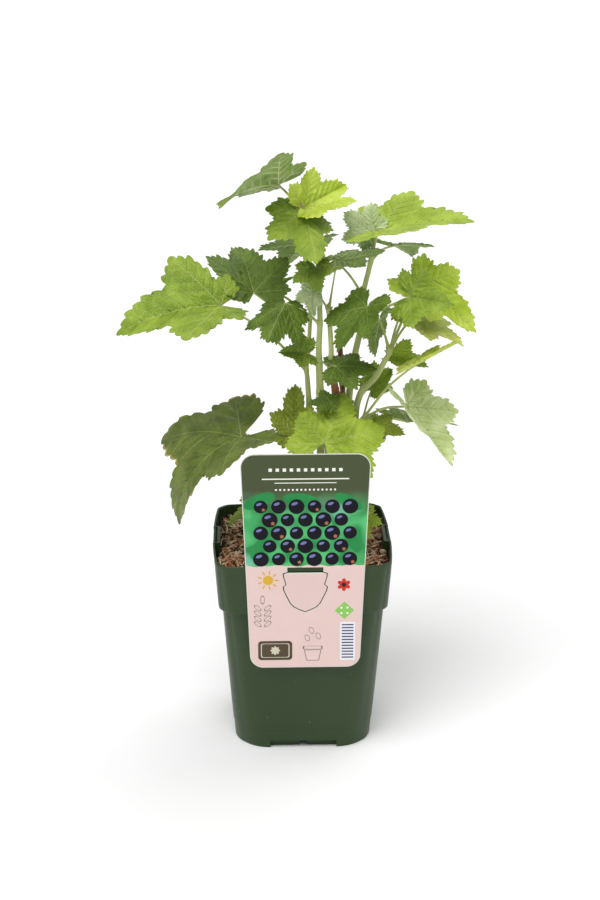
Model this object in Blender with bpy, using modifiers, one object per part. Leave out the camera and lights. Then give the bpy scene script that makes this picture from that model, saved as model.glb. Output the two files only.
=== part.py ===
"""A young blackcurrant bush in a square nursery pot, with a card label hung on the rim.

The origin is on the ground under the middle of the pot. The front of the pot, with the
label, faces -Y. Lengths are written in millimetres and turned into metres by MM.
"""

import math
from collections import namedtuple

import bmesh
import bpy
import numpy as np
from mathutils import Vector

MM = 0.001
GAP = 0.3

# Operands that are joined run this far into each other.
OVERLAP = 0.6

# Square moulded pot: half widths are taken at the corners, and each side bows out past them.
POT_HEIGHT = 153.4
POT_WALL = 1.6
RIM_HALF = 63.5
COLLAR_FOOT_HALF = 61.3
BODY_TOP_HALF = 58.0
BASE_HALF = 50.7
COLLAR_HEIGHT = 38.6
RIM_BOW = 3.5
BASE_BOW = 0.8
RIM_CORNER = 9.0
BASE_CORNER = 26.0
FLOOR_UNDERSIDE = 7.0
RIDGE_HEIGHT = 16.0
RIDGE_STEP = 0.4
COLLAR_LIP = 0.8

# Feet stay at the corners where the wall between them is cut up by FOOT_CUT.
FOOT_GAP_HALF = 25.0
FOOT_CUT = 6.0
PLINTH_HALF = 46.5
PLINTH_LENGTH = 58.0
PLINTH_NOTCH = 6.0
CENTRE_PAD_RADIUS = 13.0
DRAIN_RADIUS = 4.5
DRAIN_PLACE = 26.0

# A bar bridges a shallow recess at the middle of each side, and the label hangs on the front one.
BRIDGE_LENGTH = 31.0
BRIDGE_HEIGHT = 3.0
BRIDGE_THICKNESS = 1.4
BRIDGE_INSET = 0.5
RECESS_DEPTH = 3.4
RECESS_HEIGHT = 9.0

COMPOST_TOP = 143.0

# The label card is wider at the top, and leans out a little as it rises.
LABEL_TOP_WIDTH = 92.5
LABEL_BOTTOM_WIDTH = 81.0
LABEL_TOP = 241.5
LABEL_BOTTOM = 73.5
LABEL_THICKNESS = 0.6
LABEL_CORNER = 10.0
LABEL_LEAN = 5.0
LABEL_CENTRE = 0.8
LABEL_WINDOW_WIDTH = 27.0
LABEL_WINDOW_HEIGHT = 5.6
LABEL_WINDOW_RISE = 0.6

BLADE_THICKNESS = 0.9
STALK_RADIUS = 0.85
STALK_SINK = 2.5

# A stalk is thicker at its stem than at its blade, and sags or rises by a share of its reach.
STALK_TAPER = (1.25, 0.9)
STALK_BOW = (0.04, 0.12)

# Compass headings run anticlockwise from +X, so 90 is to the back and 270 to the front.
# A stalk leaves its stem at height node, runs reach mm out towards heading and ends rise higher.
# The blade is length mm from stalk to tip. It points to aim, pitch degrees up, and roll lowers
# its right-hand side. fold lifts both halves like an open book, and bend is the turn downwards
# from stalk to tip. lobes is the reach of the side lobes as a share of the length, skew makes
# the right half wider and the left one narrower, and basal sets the lobes beside the stalk.
LEAF_FIELDS = "node heading reach rise length aim pitch roll fold bend lobes skew basal"
Leaf = namedtuple("Leaf", LEAF_FIELDS, defaults=(0.84, 0.0, 0.7))

# A mass goes on from the tip of its stem, or leaves its side at a height and towards a heading.
# It runs straight for MASS_LEAD of the way to the first of its own points.
Source = namedtuple("Source", "stem height heading", defaults=(None, None))
MASS_LEAD = 0.35
LOBE_ANGLES = (0, 27, 52, 80, 106, 150)
BLADE_RAYS = (-150, -106, -80, -52, -27, -12, 0, 12, 27, 52, 80, 106, 150)
BLADE_CURL = 0.15

# Half way out, a blade has a second ring of points, and skew is full from this angle round.
BLADE_RINGS = (0.52, 1.0)
SKEW_ANGLE = 50


def fresh_collection(name, parent):
    collection = bpy.data.collections.new(name)
    parent.children.link(collection)
    return collection


def material(name, colour, roughness):
    """A Principled material in one colour, given as sRGB from 0 to 255."""
    made = bpy.data.materials.new(name)
    made.use_nodes = True
    shader = made.node_tree.nodes["Principled BSDF"]
    linear = [(c / 255 / 12.92) if c <= 10 else ((c / 255 + 0.055) / 1.055) ** 2.4 for c in colour]
    shader.inputs["Base Color"].default_value = (*linear, 1.0)
    shader.inputs["Roughness"].default_value = roughness
    made.diffuse_color = (*linear, 1.0)
    return made


def mesh_object(name, mesh, collection, finish=None):
    made = bpy.data.objects.new(name, mesh)
    collection.objects.link(made)
    if finish:
        mesh.materials.clear()
        mesh.materials.append(finish)
    return made


def applied(source, name, collection, finish):
    """A plain mesh object from source's evaluated shape, with loose caps welded, in place of source."""
    graph = bpy.context.evaluated_depsgraph_get()
    mesh = bpy.data.meshes.new_from_object(source.evaluated_get(graph))
    shell = bmesh.new()
    shell.from_mesh(mesh)
    bmesh.ops.remove_doubles(shell, verts=shell.verts, dist=0.00001)
    shell.to_mesh(mesh)
    shell.free()
    mesh.transform(source.matrix_world)
    bpy.data.objects.remove(source)
    return mesh_object(name, mesh, collection, finish)


def helper_box(name, centre, size, collection):
    """A box of the given size in mm, kept as a Boolean operand."""
    mesh = bpy.data.meshes.new(name)
    shell = bmesh.new()
    bmesh.ops.create_cube(shell, size=1.0)
    bmesh.ops.scale(shell, vec=Vector(size) * MM, verts=shell.verts)
    bmesh.ops.translate(shell, vec=Vector(centre) * MM, verts=shell.verts)
    shell.to_mesh(mesh)
    shell.free()
    made = mesh_object(name, mesh, collection)
    made.hide_render = True
    made.display_type = "WIRE"
    return made


def helper_cylinder(name, centre, radius, height, collection):
    mesh = bpy.data.meshes.new(name)
    shell = bmesh.new()
    bmesh.ops.create_cone(
        shell, cap_ends=True, segments=20, radius1=radius * MM, radius2=radius * MM, depth=height * MM
    )
    bmesh.ops.translate(shell, vec=Vector(centre) * MM, verts=shell.verts)
    shell.to_mesh(mesh)
    shell.free()
    made = mesh_object(name, mesh, collection)
    made.hide_render = True
    made.display_type = "WIRE"
    return made


def boolean(target, name, operation, collection):
    modifier = target.modifiers.new(name, "BOOLEAN")
    modifier.operation = operation
    modifier.operand_type = "COLLECTION"
    modifier.collection = collection
    modifier.solver = "EXACT"


def square_ring(half, corner, bow, height):
    """Points round a square with round corners whose sides swell by bow at their middles."""
    corner_steps, side_steps = 5, 4
    straight = half - corner
    turn = np.radians(np.linspace(0, 90, corner_steps))
    arc = np.stack([straight + corner * np.cos(turn), straight + corner * np.sin(turn)], axis=1)
    along = np.linspace(straight, -straight, side_steps + 1)[1:-1]
    side = np.stack([along, np.full(len(along), half)], axis=1)
    quarter = np.concatenate([arc, side])
    ring = []
    for step in range(4):
        angle = step * math.pi / 2
        turned = quarter @ np.array(
            [[math.cos(angle), math.sin(angle)], [-math.sin(angle), math.cos(angle)]]
        )
        ring.append(turned)
    ring = np.concatenate(ring)
    # The swell is full at the middle of a side and gone where the corner's arc begins.
    least = np.minimum(np.abs(ring[:, 0]), np.abs(ring[:, 1]))
    most = np.maximum(np.abs(ring[:, 0]), np.abs(ring[:, 1]))
    swell = bow * np.clip(1 - (least / most) ** 2, 0, 1)
    ring = ring * (1 + swell / most)[:, None]
    return np.column_stack([ring, np.full(len(ring), height)])


def lofted(name, rings):
    """A closed mesh through rings that all have the same number of points, capped at both ends."""
    shell = bmesh.new()
    levels = [[shell.verts.new(Vector(point) * MM) for point in ring] for ring in rings]
    count = len(levels[0])
    for lower, upper in zip(levels, levels[1:]):
        for i in range(count):
            j = (i + 1) % count
            shell.faces.new((lower[i], lower[j], upper[j], upper[i]))
    shell.faces.new(levels[0][::-1])
    shell.faces.new(levels[-1])
    bmesh.ops.recalc_face_normals(shell, faces=shell.faces)
    mesh = bpy.data.meshes.new(name)
    shell.to_mesh(mesh)
    shell.free()
    return mesh


def body_half(height):
    """Half width of the tapering body at a height."""
    share = height / (POT_HEIGHT - COLLAR_HEIGHT)
    return BASE_HALF + (BODY_TOP_HALF - BASE_HALF) * share


def body_corner(height):
    share = height / POT_HEIGHT
    return BASE_CORNER + (RIM_CORNER - BASE_CORNER) * share


def body_bow(height):
    share = height / POT_HEIGHT
    return BASE_BOW + (RIM_BOW - BASE_BOW) * share


def pot_ring(half, height, inset=0.0):
    """One ring of the pot's wall, inset by a wall's thickness where it is an inner one."""
    corner = max(body_corner(height) - inset, 2.0)
    return square_ring(half - inset, corner, body_bow(height), height)


def side_place(side, out, height):
    """A place that far out on one side of the pot, given as a step in x and y."""
    return (side[0] * out, side[1] * out, height)


def side_size(side, wide, deep, high):
    """The size of a box that is wide along one side of the pot and deep across it."""
    return (wide, deep, high) if side[1] else (deep, wide, high)


def build_pot(parts, helpers, finish):
    """The moulded pot: one loft up the outside and down the inside, then feet, recesses and bars."""
    step_height = POT_HEIGHT - COLLAR_HEIGHT
    floor_top = FLOOR_UNDERSIDE + POT_WALL
    inner_step = step_height + POT_WALL
    ridge_half = body_half(RIDGE_HEIGHT) + RIDGE_STEP
    under_collar = BODY_TOP_HALF + RIDGE_STEP
    rings = [
        pot_ring(body_half(FLOOR_UNDERSIDE), FLOOR_UNDERSIDE, POT_WALL),
        pot_ring(BASE_HALF, 0, POT_WALL),
        pot_ring(BASE_HALF, 0),
        pot_ring(body_half(RIDGE_HEIGHT), RIDGE_HEIGHT),
        pot_ring(ridge_half, RIDGE_HEIGHT + RIDGE_STEP),
        pot_ring(under_collar, step_height),
        pot_ring(COLLAR_FOOT_HALF - COLLAR_LIP, step_height),
        pot_ring(COLLAR_FOOT_HALF, step_height + COLLAR_LIP),
        pot_ring(RIM_HALF, POT_HEIGHT),
        pot_ring(RIM_HALF, POT_HEIGHT, POT_WALL),
        pot_ring(COLLAR_FOOT_HALF, inner_step, POT_WALL),
        pot_ring(under_collar, inner_step, POT_WALL),
        pot_ring(body_half(floor_top) + RIDGE_STEP, floor_top, POT_WALL),
    ]
    pot = mesh_object("pot", lofted("pot", rings), parts, finish)

    # Under the floor, a plinth ring and a middle pad stand on the ground with the corner feet.
    sides = ((0, -1), (1, 0), (0, 1), (-1, 0))
    under = fresh_collection("pot_under", helpers)
    plinth_height = FLOOR_UNDERSIDE + OVERLAP
    for index, side in enumerate(sides):
        size = side_size(side, PLINTH_LENGTH, POT_WALL, plinth_height)
        helper_box(f"plinth_{index}", side_place(side, PLINTH_HALF, plinth_height / 2), size, under)
    helper_cylinder("centre_pad", (0, 0, plinth_height / 2), CENTRE_PAD_RADIUS, plinth_height, under)

    # Behind each recess the collar is thicker inwards, so the recess has a back wall.
    collar_front = RIM_HALF + RIM_BOW
    backing_depth = RECESS_DEPTH + POT_WALL
    backing_height = RECESS_HEIGHT + OVERLAP
    backing_place = collar_front - backing_depth / 2 - OVERLAP
    for index, side in enumerate(sides):
        size = side_size(side, BRIDGE_LENGTH + 2 * POT_WALL, backing_depth, backing_height)
        place = side_place(side, backing_place, POT_HEIGHT - backing_height / 2)
        helper_box(f"backing_{index}", place, size, under)
    boolean(pot, "stand", "UNION", under)

    # Cutters run past the faces that they open.
    cuts = fresh_collection("pot_cuts", helpers)
    beyond = 2.0
    for index, side in enumerate(sides):
        size = side_size(side, 2 * FOOT_GAP_HALF, 3 * beyond, FOOT_CUT + beyond)
        place = side_place(side, BASE_HALF + BASE_BOW, (FOOT_CUT - beyond) / 2)
        helper_box(f"foot_cut_{index}", place, size, cuts)
        size = side_size(side, BRIDGE_LENGTH, RECESS_DEPTH + beyond, 2 * RECESS_HEIGHT)
        place = side_place(side, collar_front - (RECESS_DEPTH - beyond) / 2, POT_HEIGHT)
        helper_box(f"recess_{index}", place, size, cuts)
    notch_height = FLOOR_UNDERSIDE - OVERLAP
    for index, side in enumerate(sides[::2]):
        size = side_size(side, PLINTH_NOTCH, 3 * POT_WALL, notch_height + beyond)
        place = side_place(side, PLINTH_HALF, (notch_height - beyond) / 2)
        helper_box(f"plinth_notch_{index}", place, size, cuts)
    for index, (x, y) in enumerate(((1, 1), (1, -1), (-1, 1), (-1, -1))):
        place = (x * DRAIN_PLACE, y * DRAIN_PLACE, FLOOR_UNDERSIDE)
        helper_cylinder(f"drain_{index}", place, DRAIN_RADIUS, 4 * FLOOR_UNDERSIDE, cuts)
    boolean(pot, "cuts", "DIFFERENCE", cuts)

    bars = fresh_collection("pot_bars", helpers)
    bar_place = collar_front - BRIDGE_THICKNESS / 2 - BRIDGE_INSET
    for index, side in enumerate(sides):
        size = side_size(side, BRIDGE_LENGTH + 2 * OVERLAP, BRIDGE_THICKNESS, BRIDGE_HEIGHT)
        place = side_place(side, bar_place, POT_HEIGHT - BRIDGE_HEIGHT / 2 - GAP)
        helper_box(f"bar_{index}", place, size, bars)
    boolean(pot, "bars", "UNION", bars)
    return pot


def build_compost(parts, finish):
    """Compost fills the pot to 10 mm under the rim, just clear of the wall, floor and recess backs."""
    clear = POT_WALL + GAP
    floor = FLOOR_UNDERSIDE + POT_WALL + GAP
    step_height = POT_HEIGHT - COLLAR_HEIGHT
    lower_step = step_height + POT_WALL + GAP
    share = (COMPOST_TOP - step_height) / COLLAR_HEIGHT
    top_half = COLLAR_FOOT_HALF + (RIM_HALF - COLLAR_FOOT_HALF) * share
    rings = [
        pot_ring(body_half(floor), floor, clear),
        pot_ring(BODY_TOP_HALF, lower_step, clear),
        pot_ring(COLLAR_FOOT_HALF, lower_step, clear),
        pot_ring(top_half, COMPOST_TOP, clear),
    ]
    return mesh_object("compost", lofted("compost", rings), parts, finish)


def build_label(parts, finish):
    """The card: an outline with round corners and a window for the bar, as a filled flat curve."""
    curve = bpy.data.curves.new("label_card", "CURVE")
    curve.dimensions = "2D"
    curve.fill_mode = "BOTH"
    curve.extrude = LABEL_THICKNESS / 2 * MM
    height = LABEL_TOP - LABEL_BOTTOM
    corner_steps = 5
    outline = []
    for x, y, start in ((1, 1, 0), (-1, 1, 90), (-1, -1, 180), (1, -1, 270)):
        half = (LABEL_TOP_WIDTH if y > 0 else LABEL_BOTTOM_WIDTH) / 2
        for step in range(corner_steps):
            angle = math.radians(start + 90 * step / (corner_steps - 1))
            outline.append(
                (
                    x * (half - LABEL_CORNER) + LABEL_CORNER * math.cos(angle),
                    y * (height / 2 - LABEL_CORNER) + LABEL_CORNER * math.sin(angle),
                )
            )
    window_top = POT_HEIGHT + LABEL_WINDOW_RISE - (LABEL_TOP + LABEL_BOTTOM) / 2
    window_low = window_top - LABEL_WINDOW_HEIGHT
    half = LABEL_WINDOW_WIDTH / 2
    window = [(half, window_top), (-half, window_top), (-half, window_low), (half, window_low)]
    for points in (outline, window):
        spline = curve.splines.new("POLY")
        spline.points.add(len(points) - 1)
        spline.use_cyclic_u = True
        for point, (x, y) in zip(spline.points, points):
            point.co = (x * MM, y * MM, 0, 1)
    card = bpy.data.objects.new("label_curve", curve)
    parts.objects.link(card)
    lean = math.atan2(LABEL_LEAN, height)
    front = RIM_HALF + RIM_BOW + GAP + LABEL_THICKNESS / 2
    above_bar = (LABEL_TOP + LABEL_BOTTOM) / 2 - POT_HEIGHT
    card.rotation_euler = (math.pi / 2 + lean, 0, 0)
    card.location = Vector(
        (LABEL_CENTRE, -front - above_bar * math.tan(lean), (LABEL_TOP + LABEL_BOTTOM) / 2)
    ) * MM
    bpy.context.view_layer.update()
    return applied(card, "label_card", parts, finish)


def smooth_path(points, count):
    """Even steps along a Catmull-Rom curve through a few points chosen by hand."""
    known = np.array(points, float)
    ends = np.vstack([2 * known[0] - known[1], known, 2 * known[-1] - known[-2]])
    place = np.linspace(0, len(known) - 1, count)
    start = np.minimum(place.astype(int), len(known) - 2)
    t = (place - start)[:, None]
    p0, p1, p2, p3 = (ends[start + k] for k in range(4))
    square = 2 * p0 - 5 * p1 + 4 * p2 - p3
    cube = 3 * p1 - p0 - 3 * p2 + p3
    return p1 + 0.5 * ((p2 - p0) * t + square * t**2 + cube * t**3)


def tube(name, path, radii, sides, collection, finish=None):
    """A capped tapering limb: a poly curve with a round bevel, made a mesh."""
    curve = bpy.data.curves.new(name, "CURVE")
    curve.dimensions = "3D"
    curve.bevel_depth = MM
    curve.bevel_resolution = sides // 2 - 2
    curve.use_fill_caps = True
    spline = curve.splines.new("POLY")
    spline.points.add(len(path) - 1)
    for point, place, radius in zip(spline.points, path, radii):
        point.co = (*(Vector(place) * MM), 1)
        point.radius = radius
    made = bpy.data.objects.new(name + "_curve", curve)
    collection.objects.link(made)
    bpy.context.view_layer.update()
    return applied(made, name, collection, finish)


def blade_axes(leaf):
    """Unit vectors of a blade: along its midrib, to its right-hand side, and out of its upper face."""
    aim, pitch, roll = (math.radians(angle) for angle in (leaf.aim, leaf.pitch, leaf.roll))
    along = Vector(
        (math.cos(pitch) * math.cos(aim), math.cos(pitch) * math.sin(aim), math.sin(pitch))
    )
    level = Vector((math.sin(aim), -math.cos(aim), 0))
    up = level.cross(along)
    right = level * math.cos(roll) - up * math.sin(roll)
    return along, right, up * math.cos(roll) + level * math.sin(roll)


def lobe_reaches(lobes, basal):
    """Reach of a blade at each of LOBE_ANGLES, from the middle lobe round to the stalk's notch."""
    return (1.0, 0.4 + 0.4 * lobes, lobes, (basal + 0.04) * lobes, basal * lobes, 0.43 * basal)


def blade_mesh(name, leaf, base):
    """A three to five lobed currant leaf as an open fan: rays out of the stalk, cut to the outline.

    The reach of a ray runs in even steps from each lobe's tip to the notch beside it. The blade
    is turned up by the fold on both sides of its midrib, bent in an arc along it, and curled
    down by the square of the distance from it.
    """
    rays = np.array(BLADE_RAYS, float)
    reach = np.interp(np.abs(rays), LOBE_ANGLES, lobe_reaches(leaf.lobes, leaf.basal))
    reach = reach * (1 + leaf.skew * np.sign(rays) * np.clip(np.abs(rays) / SKEW_ANGLE, 0, 1))
    bend = math.radians(max(leaf.bend, 1))
    fold = math.radians(leaf.fold)
    along, right, up = blade_axes(leaf)
    shell = bmesh.new()
    root = shell.verts.new(Vector(base) * MM)
    rings = []
    for share in BLADE_RINGS:
        forward = reach * share * np.cos(np.radians(rays))
        sideways = reach * share * np.sin(np.radians(rays))
        drop = np.sign(forward) * (1 - np.cos(bend * forward)) / bend
        u = np.sin(bend * forward) / bend
        v = sideways * math.cos(fold)
        w = np.abs(sideways) * math.sin(fold) - drop - BLADE_CURL * sideways**2
        rings.append(
            [
                shell.verts.new((Vector(base) + leaf.length * (along * a + right * b + up * c)) * MM)
                for a, b, c in zip(u, v, w)
            ]
        )
    inner, outer = rings
    for i in range(len(rays) - 1):
        shell.faces.new((root, inner[i + 1], inner[i]))
        shell.faces.new((inner[i], inner[i + 1], outer[i + 1], outer[i]))
    mesh = bpy.data.meshes.new(name)
    shell.to_mesh(mesh)
    shell.free()
    return mesh


def stem_path(name):
    """The points of a named stem's axis, with its radius at each."""
    points, radii = STEMS[name]
    path = smooth_path(points, 3 * len(points) - 2)
    return path, np.linspace(*radii, len(path))


def mass_start(source, next_point):
    """Two points that lead a mass's stem away to its next one: on from a tip, or out of a side."""
    path, radii = stem_path(source.stem)
    if source.height is None:
        along = path[-1] - path[-2]
        along = along / np.linalg.norm(along)
        place = path[-1]
        clear = GAP
    else:
        heading = math.radians(source.heading)
        along = np.array([math.cos(heading), math.sin(heading), 0.0])
        place = np.array([np.interp(source.height, path[:, 2], path[:, axis]) for axis in range(3)])
        clear = GAP + np.interp(source.height, path[:, 2], radii)
    lead = MASS_LEAD * np.linalg.norm(np.array(next_point) - place)
    return [place + along * clear, place + along * (clear + lead)]


def build_mass(name, source, stem, radii, leaves, seed, parts, helpers, finish):
    """One mass: a stem, stalks that leave it by the plan, and a blade fused on each stalk's end."""
    chance = np.random.default_rng(seed)
    points = mass_start(source, stem[0]) + list(stem)
    path = smooth_path(points, 2 * len(points) - 1)
    mass = tube(name, path, np.linspace(*radii, len(path)), 6, parts, finish)
    growth = fresh_collection(name + "_growth", helpers)
    for index, leaf in enumerate(leaves):
        bow = chance.uniform(*STALK_BOW)
        height = np.clip(leaf.node, path[0][2] + 1.0, path[-1][2] - 0.5)
        start = np.array([np.interp(height, path[:, 2], path[:, axis]) for axis in range(3)])
        heading = math.radians(leaf.heading)
        out = np.array([math.cos(heading), math.sin(heading), 0]) * leaf.reach
        base = start + out + np.array([0, 0, leaf.rise])
        along = np.array(blade_axes(leaf)[0])
        middle = (start + base) / 2 + np.array([0, 0, bow * leaf.reach])
        stalk = smooth_path([start, middle, base], 4)
        stalk = np.vstack([stalk, base + along * STALK_SINK])
        thickness = STALK_RADIUS * np.linspace(*STALK_TAPER, len(stalk))
        made = tube(f"{name}_stalk_{index}", stalk, thickness, 4, growth)
        made.hide_render = True
        made.display_type = "WIRE"
        blade = mesh_object(f"{name}_blade_{index}", blade_mesh(name, leaf, base), growth)
        skin = blade.modifiers.new("thickness", "SOLIDIFY")
        skin.thickness = BLADE_THICKNESS * MM
        skin.offset = 0
        blade.hide_render = True
        blade.display_type = "WIRE"
    union = mass.modifiers.new("growth", "BOOLEAN")
    union.operation = "UNION"
    union.operand_type = "COLLECTION"
    union.collection = growth
    union.solver = "MANIFOLD"
    bpy.context.view_layer.update()
    fused = applied(mass, name, parts, finish)
    fused.name = name
    for spare in list(growth.objects):
        bpy.data.objects.remove(spare)
    bpy.data.collections.remove(growth)
    return fused


# Stems, foot to tip: a few points in mm, then the radius at each end.
STEM_FOOT = COMPOST_TOP + GAP
STEMS = {
    "main_stem": ([(22, -3, STEM_FOOT), (25.5, -3, 250), (22, -3, 281.5)], (4.2, 2.3)),
    "old_twig": ([(30, 8, STEM_FOOT), (31.5, 8.5, 240), (28.5, 8, 299)], (2.6, 1.8)),
    "shoot_left": ([(7, 3, STEM_FOOT), (6.5, 3, 235), (4.3, 3, 275)], (2.6, 1.9)),
    "shoot_middle": ([(13.5, -4, STEM_FOOT), (14, -4, 240), (12.8, -4, 290)], (3.2, 2.6)),
    "shoot_right": ([(33, 17, STEM_FOOT), (35, 13, 240), (37.7, 12, 278), (42.5, 12, 304)], (3.0, 2.3)),
    "shoot_side": (
        [(37, -4, STEM_FOOT), (39, -4.5, 235), (42.5, -4, 263), (54, -4, 277.5), (62, -4, 292)],
        (2.8, 2.0),
    ),
}

# Masses: what each grows from, the points and radii of its own stem, and its leaves.
MASSES = {
    "leaves_left": (
        Source("shoot_left"),
        [(5.4, 3, 300), (6.7, 3, 350), (1, 3, 402)],
        (1.8, 1.2),
        [
            Leaf(281, 192, 63, 53, 79, 196, 4, -33, 27, 45, 0.72, -0.05, 0.45),
            Leaf(303, 163, 42, 34, 52, 102, 31, 3, 26, 9, 0.82, -0.05),
            Leaf(399, 170, 18, 19, 69, 223, 9, 37, 13, 34, 0.58, -0.27, 0.5),
            Leaf(401, 90, 2, 1, 43, 41, 14, 42, 45, 1, 0.82, 0.13),
            Leaf(400, 267, 2, 0, 49, 283, -28, -6, -8, 18, 0.63, 0.20),
            Leaf(345, 95, 36, 22, 44, 110, -20, 0, 15, 25),
            Leaf(320, 130, 52, 12, 46, 140, -10, 0, 15, 25),
        ],
    ),
    "leaves_middle": (
        Source("shoot_middle"),
        [(13.2, -4, 320), (12.4, -4, 345), (11.7, -4, 366)],
        (2.4, 1.6),
        [
            Leaf(318, 213, 30, 20, 38, 249, -20, -16, -35, 30),
            Leaf(365, 258, 9, -3, 23, 271, -24, 13, 14, 24, 0.85, 0.13),
        ],
    ),
    "leaves_centre": (
        Source("main_stem"),
        [(21.5, -3, 299), (19.5, -3, 330)],
        (2.2, 1.7),
        [
            Leaf(284, 219, 24, 16, 22, 214, 15, -62, 32, 30),
            Leaf(286, 284, 12, 3, 30, 354, 4, 22, -7, 18, 0.86),
            Leaf(328, 318, 6, 31, 10, 150, 0, 10, 10, 10),
            Leaf(328, 220, 14, 17, 20, 235, -60, 0, 30, 60),
        ],
    ),
    "leaves_right": (
        Source("shoot_right"),
        [(45.2, 12, 335), (50.3, 12, 359), (53.8, 12, 382)],
        (2.2, 1.7),
        [
            Leaf(314, 318, 44, 27, 38, 301, 7, 71, 26, 40, 0.80),
            Leaf(322, 272, 36, 14, 39, 214, -37, 3, 13, 22, 0.92),
            Leaf(335, 202, 22, 28, 36, 351, 16, -29, 0, 5, 0.77),
            Leaf(381, 298, 2, 2, 70, 352, 18, 12, 20, 26, 0.71, 0.04),
            Leaf(380, 180, 3, 2, 26, 150, 30, -60, 10, 15),
            Leaf(360, 60, 34, 5, 40, 60, -10, 0, 15, 25),
        ],
    ),
    "leaves_side": (
        Source("shoot_side"),
        [(64.6, -4, 299.5)],
        (1.9, 1.6),
        [
            Leaf(297, 140, 9, 22, 28, 150, -70, 10, 18, 30, 0.80, 0.10),
            Leaf(299, 44, 32, 41, 54, 327, -21, 42, 44, 49, 0.76, 0.13),
            Leaf(297, 25, 19, 23, 42, 340, -19, -1, 7, 11, 0.87),
            Leaf(296, 82, 22, -10, 29, 341, 0, 34, 36, 33, 0.77, 0.06, 0.45),
            Leaf(298, 75, 48, 15, 44, 70, -15, 0, 15, 25),
        ],
    ),
    "leaves_low_right": (
        Source("shoot_side", 243, 290),
        [(43, -10, 246), (46, -11, 249)],
        (1.4, 1.2),
        [
            Leaf(248, 330, 39, 45, 38, 0, 29, -11, 11, 2, 0.90),
            Leaf(248, 4, 32, 8, 55, 321, -38, -2, 34, 9, 0.77, 0.05),
            Leaf(246, 10, 9, -4, 25, 338, -4, 27, 7, 16, 0.75, 0.05),
            Leaf(248, 72, 24, 15, 24, 39, 29, 51, 37, 2, 0.81, -0.15),
            Leaf(247, 45, 52, -14, 46, 45, -10, 0, 15, 25),
        ],
    ),
    "leaves_low_left": (
        Source("shoot_left", 228, 232),
        [(1.5, -6.5, 231), (-2, -16, 234)],
        (1.4, 1.2),
        [
            Leaf(233, 208, 5, 3, 42, 88, 46, -14, 36, 2, 0.61),
            Leaf(234, 192, 44, 5, 85, 200, -9, -3, 13, 86, 0.79, 0.18),
            Leaf(232, 150, 66, -20, 46, 160, -15, 0, 15, 25),
        ],
    ),
    "leaves_low_front": (
        Source("main_stem", 214, 262),
        [(21, -14, 219), (17, -25, 225)],
        (1.4, 1.2),
        [
            Leaf(224, 263, 20, 16, 44, 62, 44, 16, -8, 14, 0.90, 0.17, 0.88),
            Leaf(223, 300, 5, 41, 17, 174, 5, -25, 18, 15, 0.88),
        ],
    ),
    "leaves_low_side": (
        Source("shoot_side", 182, 285),
        [(40, -12, 186)],
        (1.4, 1.2),
        [
            Leaf(185, 275, 15, -6, 23, 285, -35, 0, 15, 25),
            Leaf(185, 235, 12, 6, 22, 225, -10, 0, 15, 25),
        ],
    ),
    "leaves_low_back": (
        Source("main_stem", 190, 105),
        [(19, 11, 195), (16, 20, 200)],
        (1.4, 1.2),
        [
            Leaf(199, 95, 32, -10, 48, 95, -10, 0, 15, 25),
            Leaf(198, 190, 40, -20, 40, 185, -20, 0, 15, 25),
        ],
    ),
}


def build():
    for stale in list(bpy.data.objects):
        bpy.data.objects.remove(stale)
    scene = bpy.context.scene.collection
    parts = fresh_collection("potted_currant", scene)
    helpers = fresh_collection("helpers", scene)

    moulded = material("moulded_green_plastic", (68, 86, 57), 0.45)
    peat = material("peat_compost", (62, 44, 32), 0.95)
    card = material("printed_card", (205, 190, 175), 0.4)
    bark = material("brown_bark", (120, 78, 48), 0.8)
    shoot = material("green_shoot", (140, 165, 85), 0.6)
    leaf = material("currant_leaf", (120, 160, 60), 0.6)

    build_pot(parts, helpers, moulded)
    build_compost(parts, peat)
    build_label(parts, card)
    for name in STEMS:
        path, radii = stem_path(name)
        finish = bark if name in ("main_stem", "old_twig") else shoot
        tube(name, path, radii, 8, parts, finish)
    for seed, (name, (source, stem, radii, leaves)) in enumerate(MASSES.items()):
        build_mass(name, source, stem, radii, leaves, seed, parts, helpers, leaf)


build()
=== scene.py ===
"""A young blackcurrant bush in a square nursery pot, dressed for rendering.

Lengths are in millimetres and turned into metres by MM. +Z is up, and the label faces -Y.
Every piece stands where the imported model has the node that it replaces.
"""

import math
from collections import namedtuple

import bpy
import numpy as np
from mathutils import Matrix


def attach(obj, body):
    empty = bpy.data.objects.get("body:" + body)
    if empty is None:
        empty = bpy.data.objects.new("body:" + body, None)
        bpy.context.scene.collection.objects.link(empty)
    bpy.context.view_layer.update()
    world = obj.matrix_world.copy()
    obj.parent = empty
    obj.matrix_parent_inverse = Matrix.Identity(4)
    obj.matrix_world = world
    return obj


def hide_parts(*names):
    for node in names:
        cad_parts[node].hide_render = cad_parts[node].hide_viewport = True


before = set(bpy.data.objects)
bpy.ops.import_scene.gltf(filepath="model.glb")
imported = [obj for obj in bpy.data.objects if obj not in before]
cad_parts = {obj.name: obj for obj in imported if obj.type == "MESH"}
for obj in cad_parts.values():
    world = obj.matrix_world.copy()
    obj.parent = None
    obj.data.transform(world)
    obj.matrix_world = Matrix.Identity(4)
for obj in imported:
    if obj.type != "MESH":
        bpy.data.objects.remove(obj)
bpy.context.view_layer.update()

# The pot is a square nursery pot, moulded in one shot from dark green polypropylene.
# Its thin wall tapers to the base under a stepped collar, and it stands on four corner feet,
# a short plinth along each side and a round pad. A bar bridges a recess in each side of the rim.
MM = 0.001
PER_MM = 1000.0
POT_HEIGHT = 153.4
POT_WALL = 1.6
RIM_HALF = 63.5
COLLAR_FOOT_HALF = 61.3
BODY_TOP_HALF = 58.0
BASE_HALF = 50.7
COLLAR_HEIGHT = 38.6
STEP_HEIGHT = POT_HEIGHT - COLLAR_HEIGHT
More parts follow.
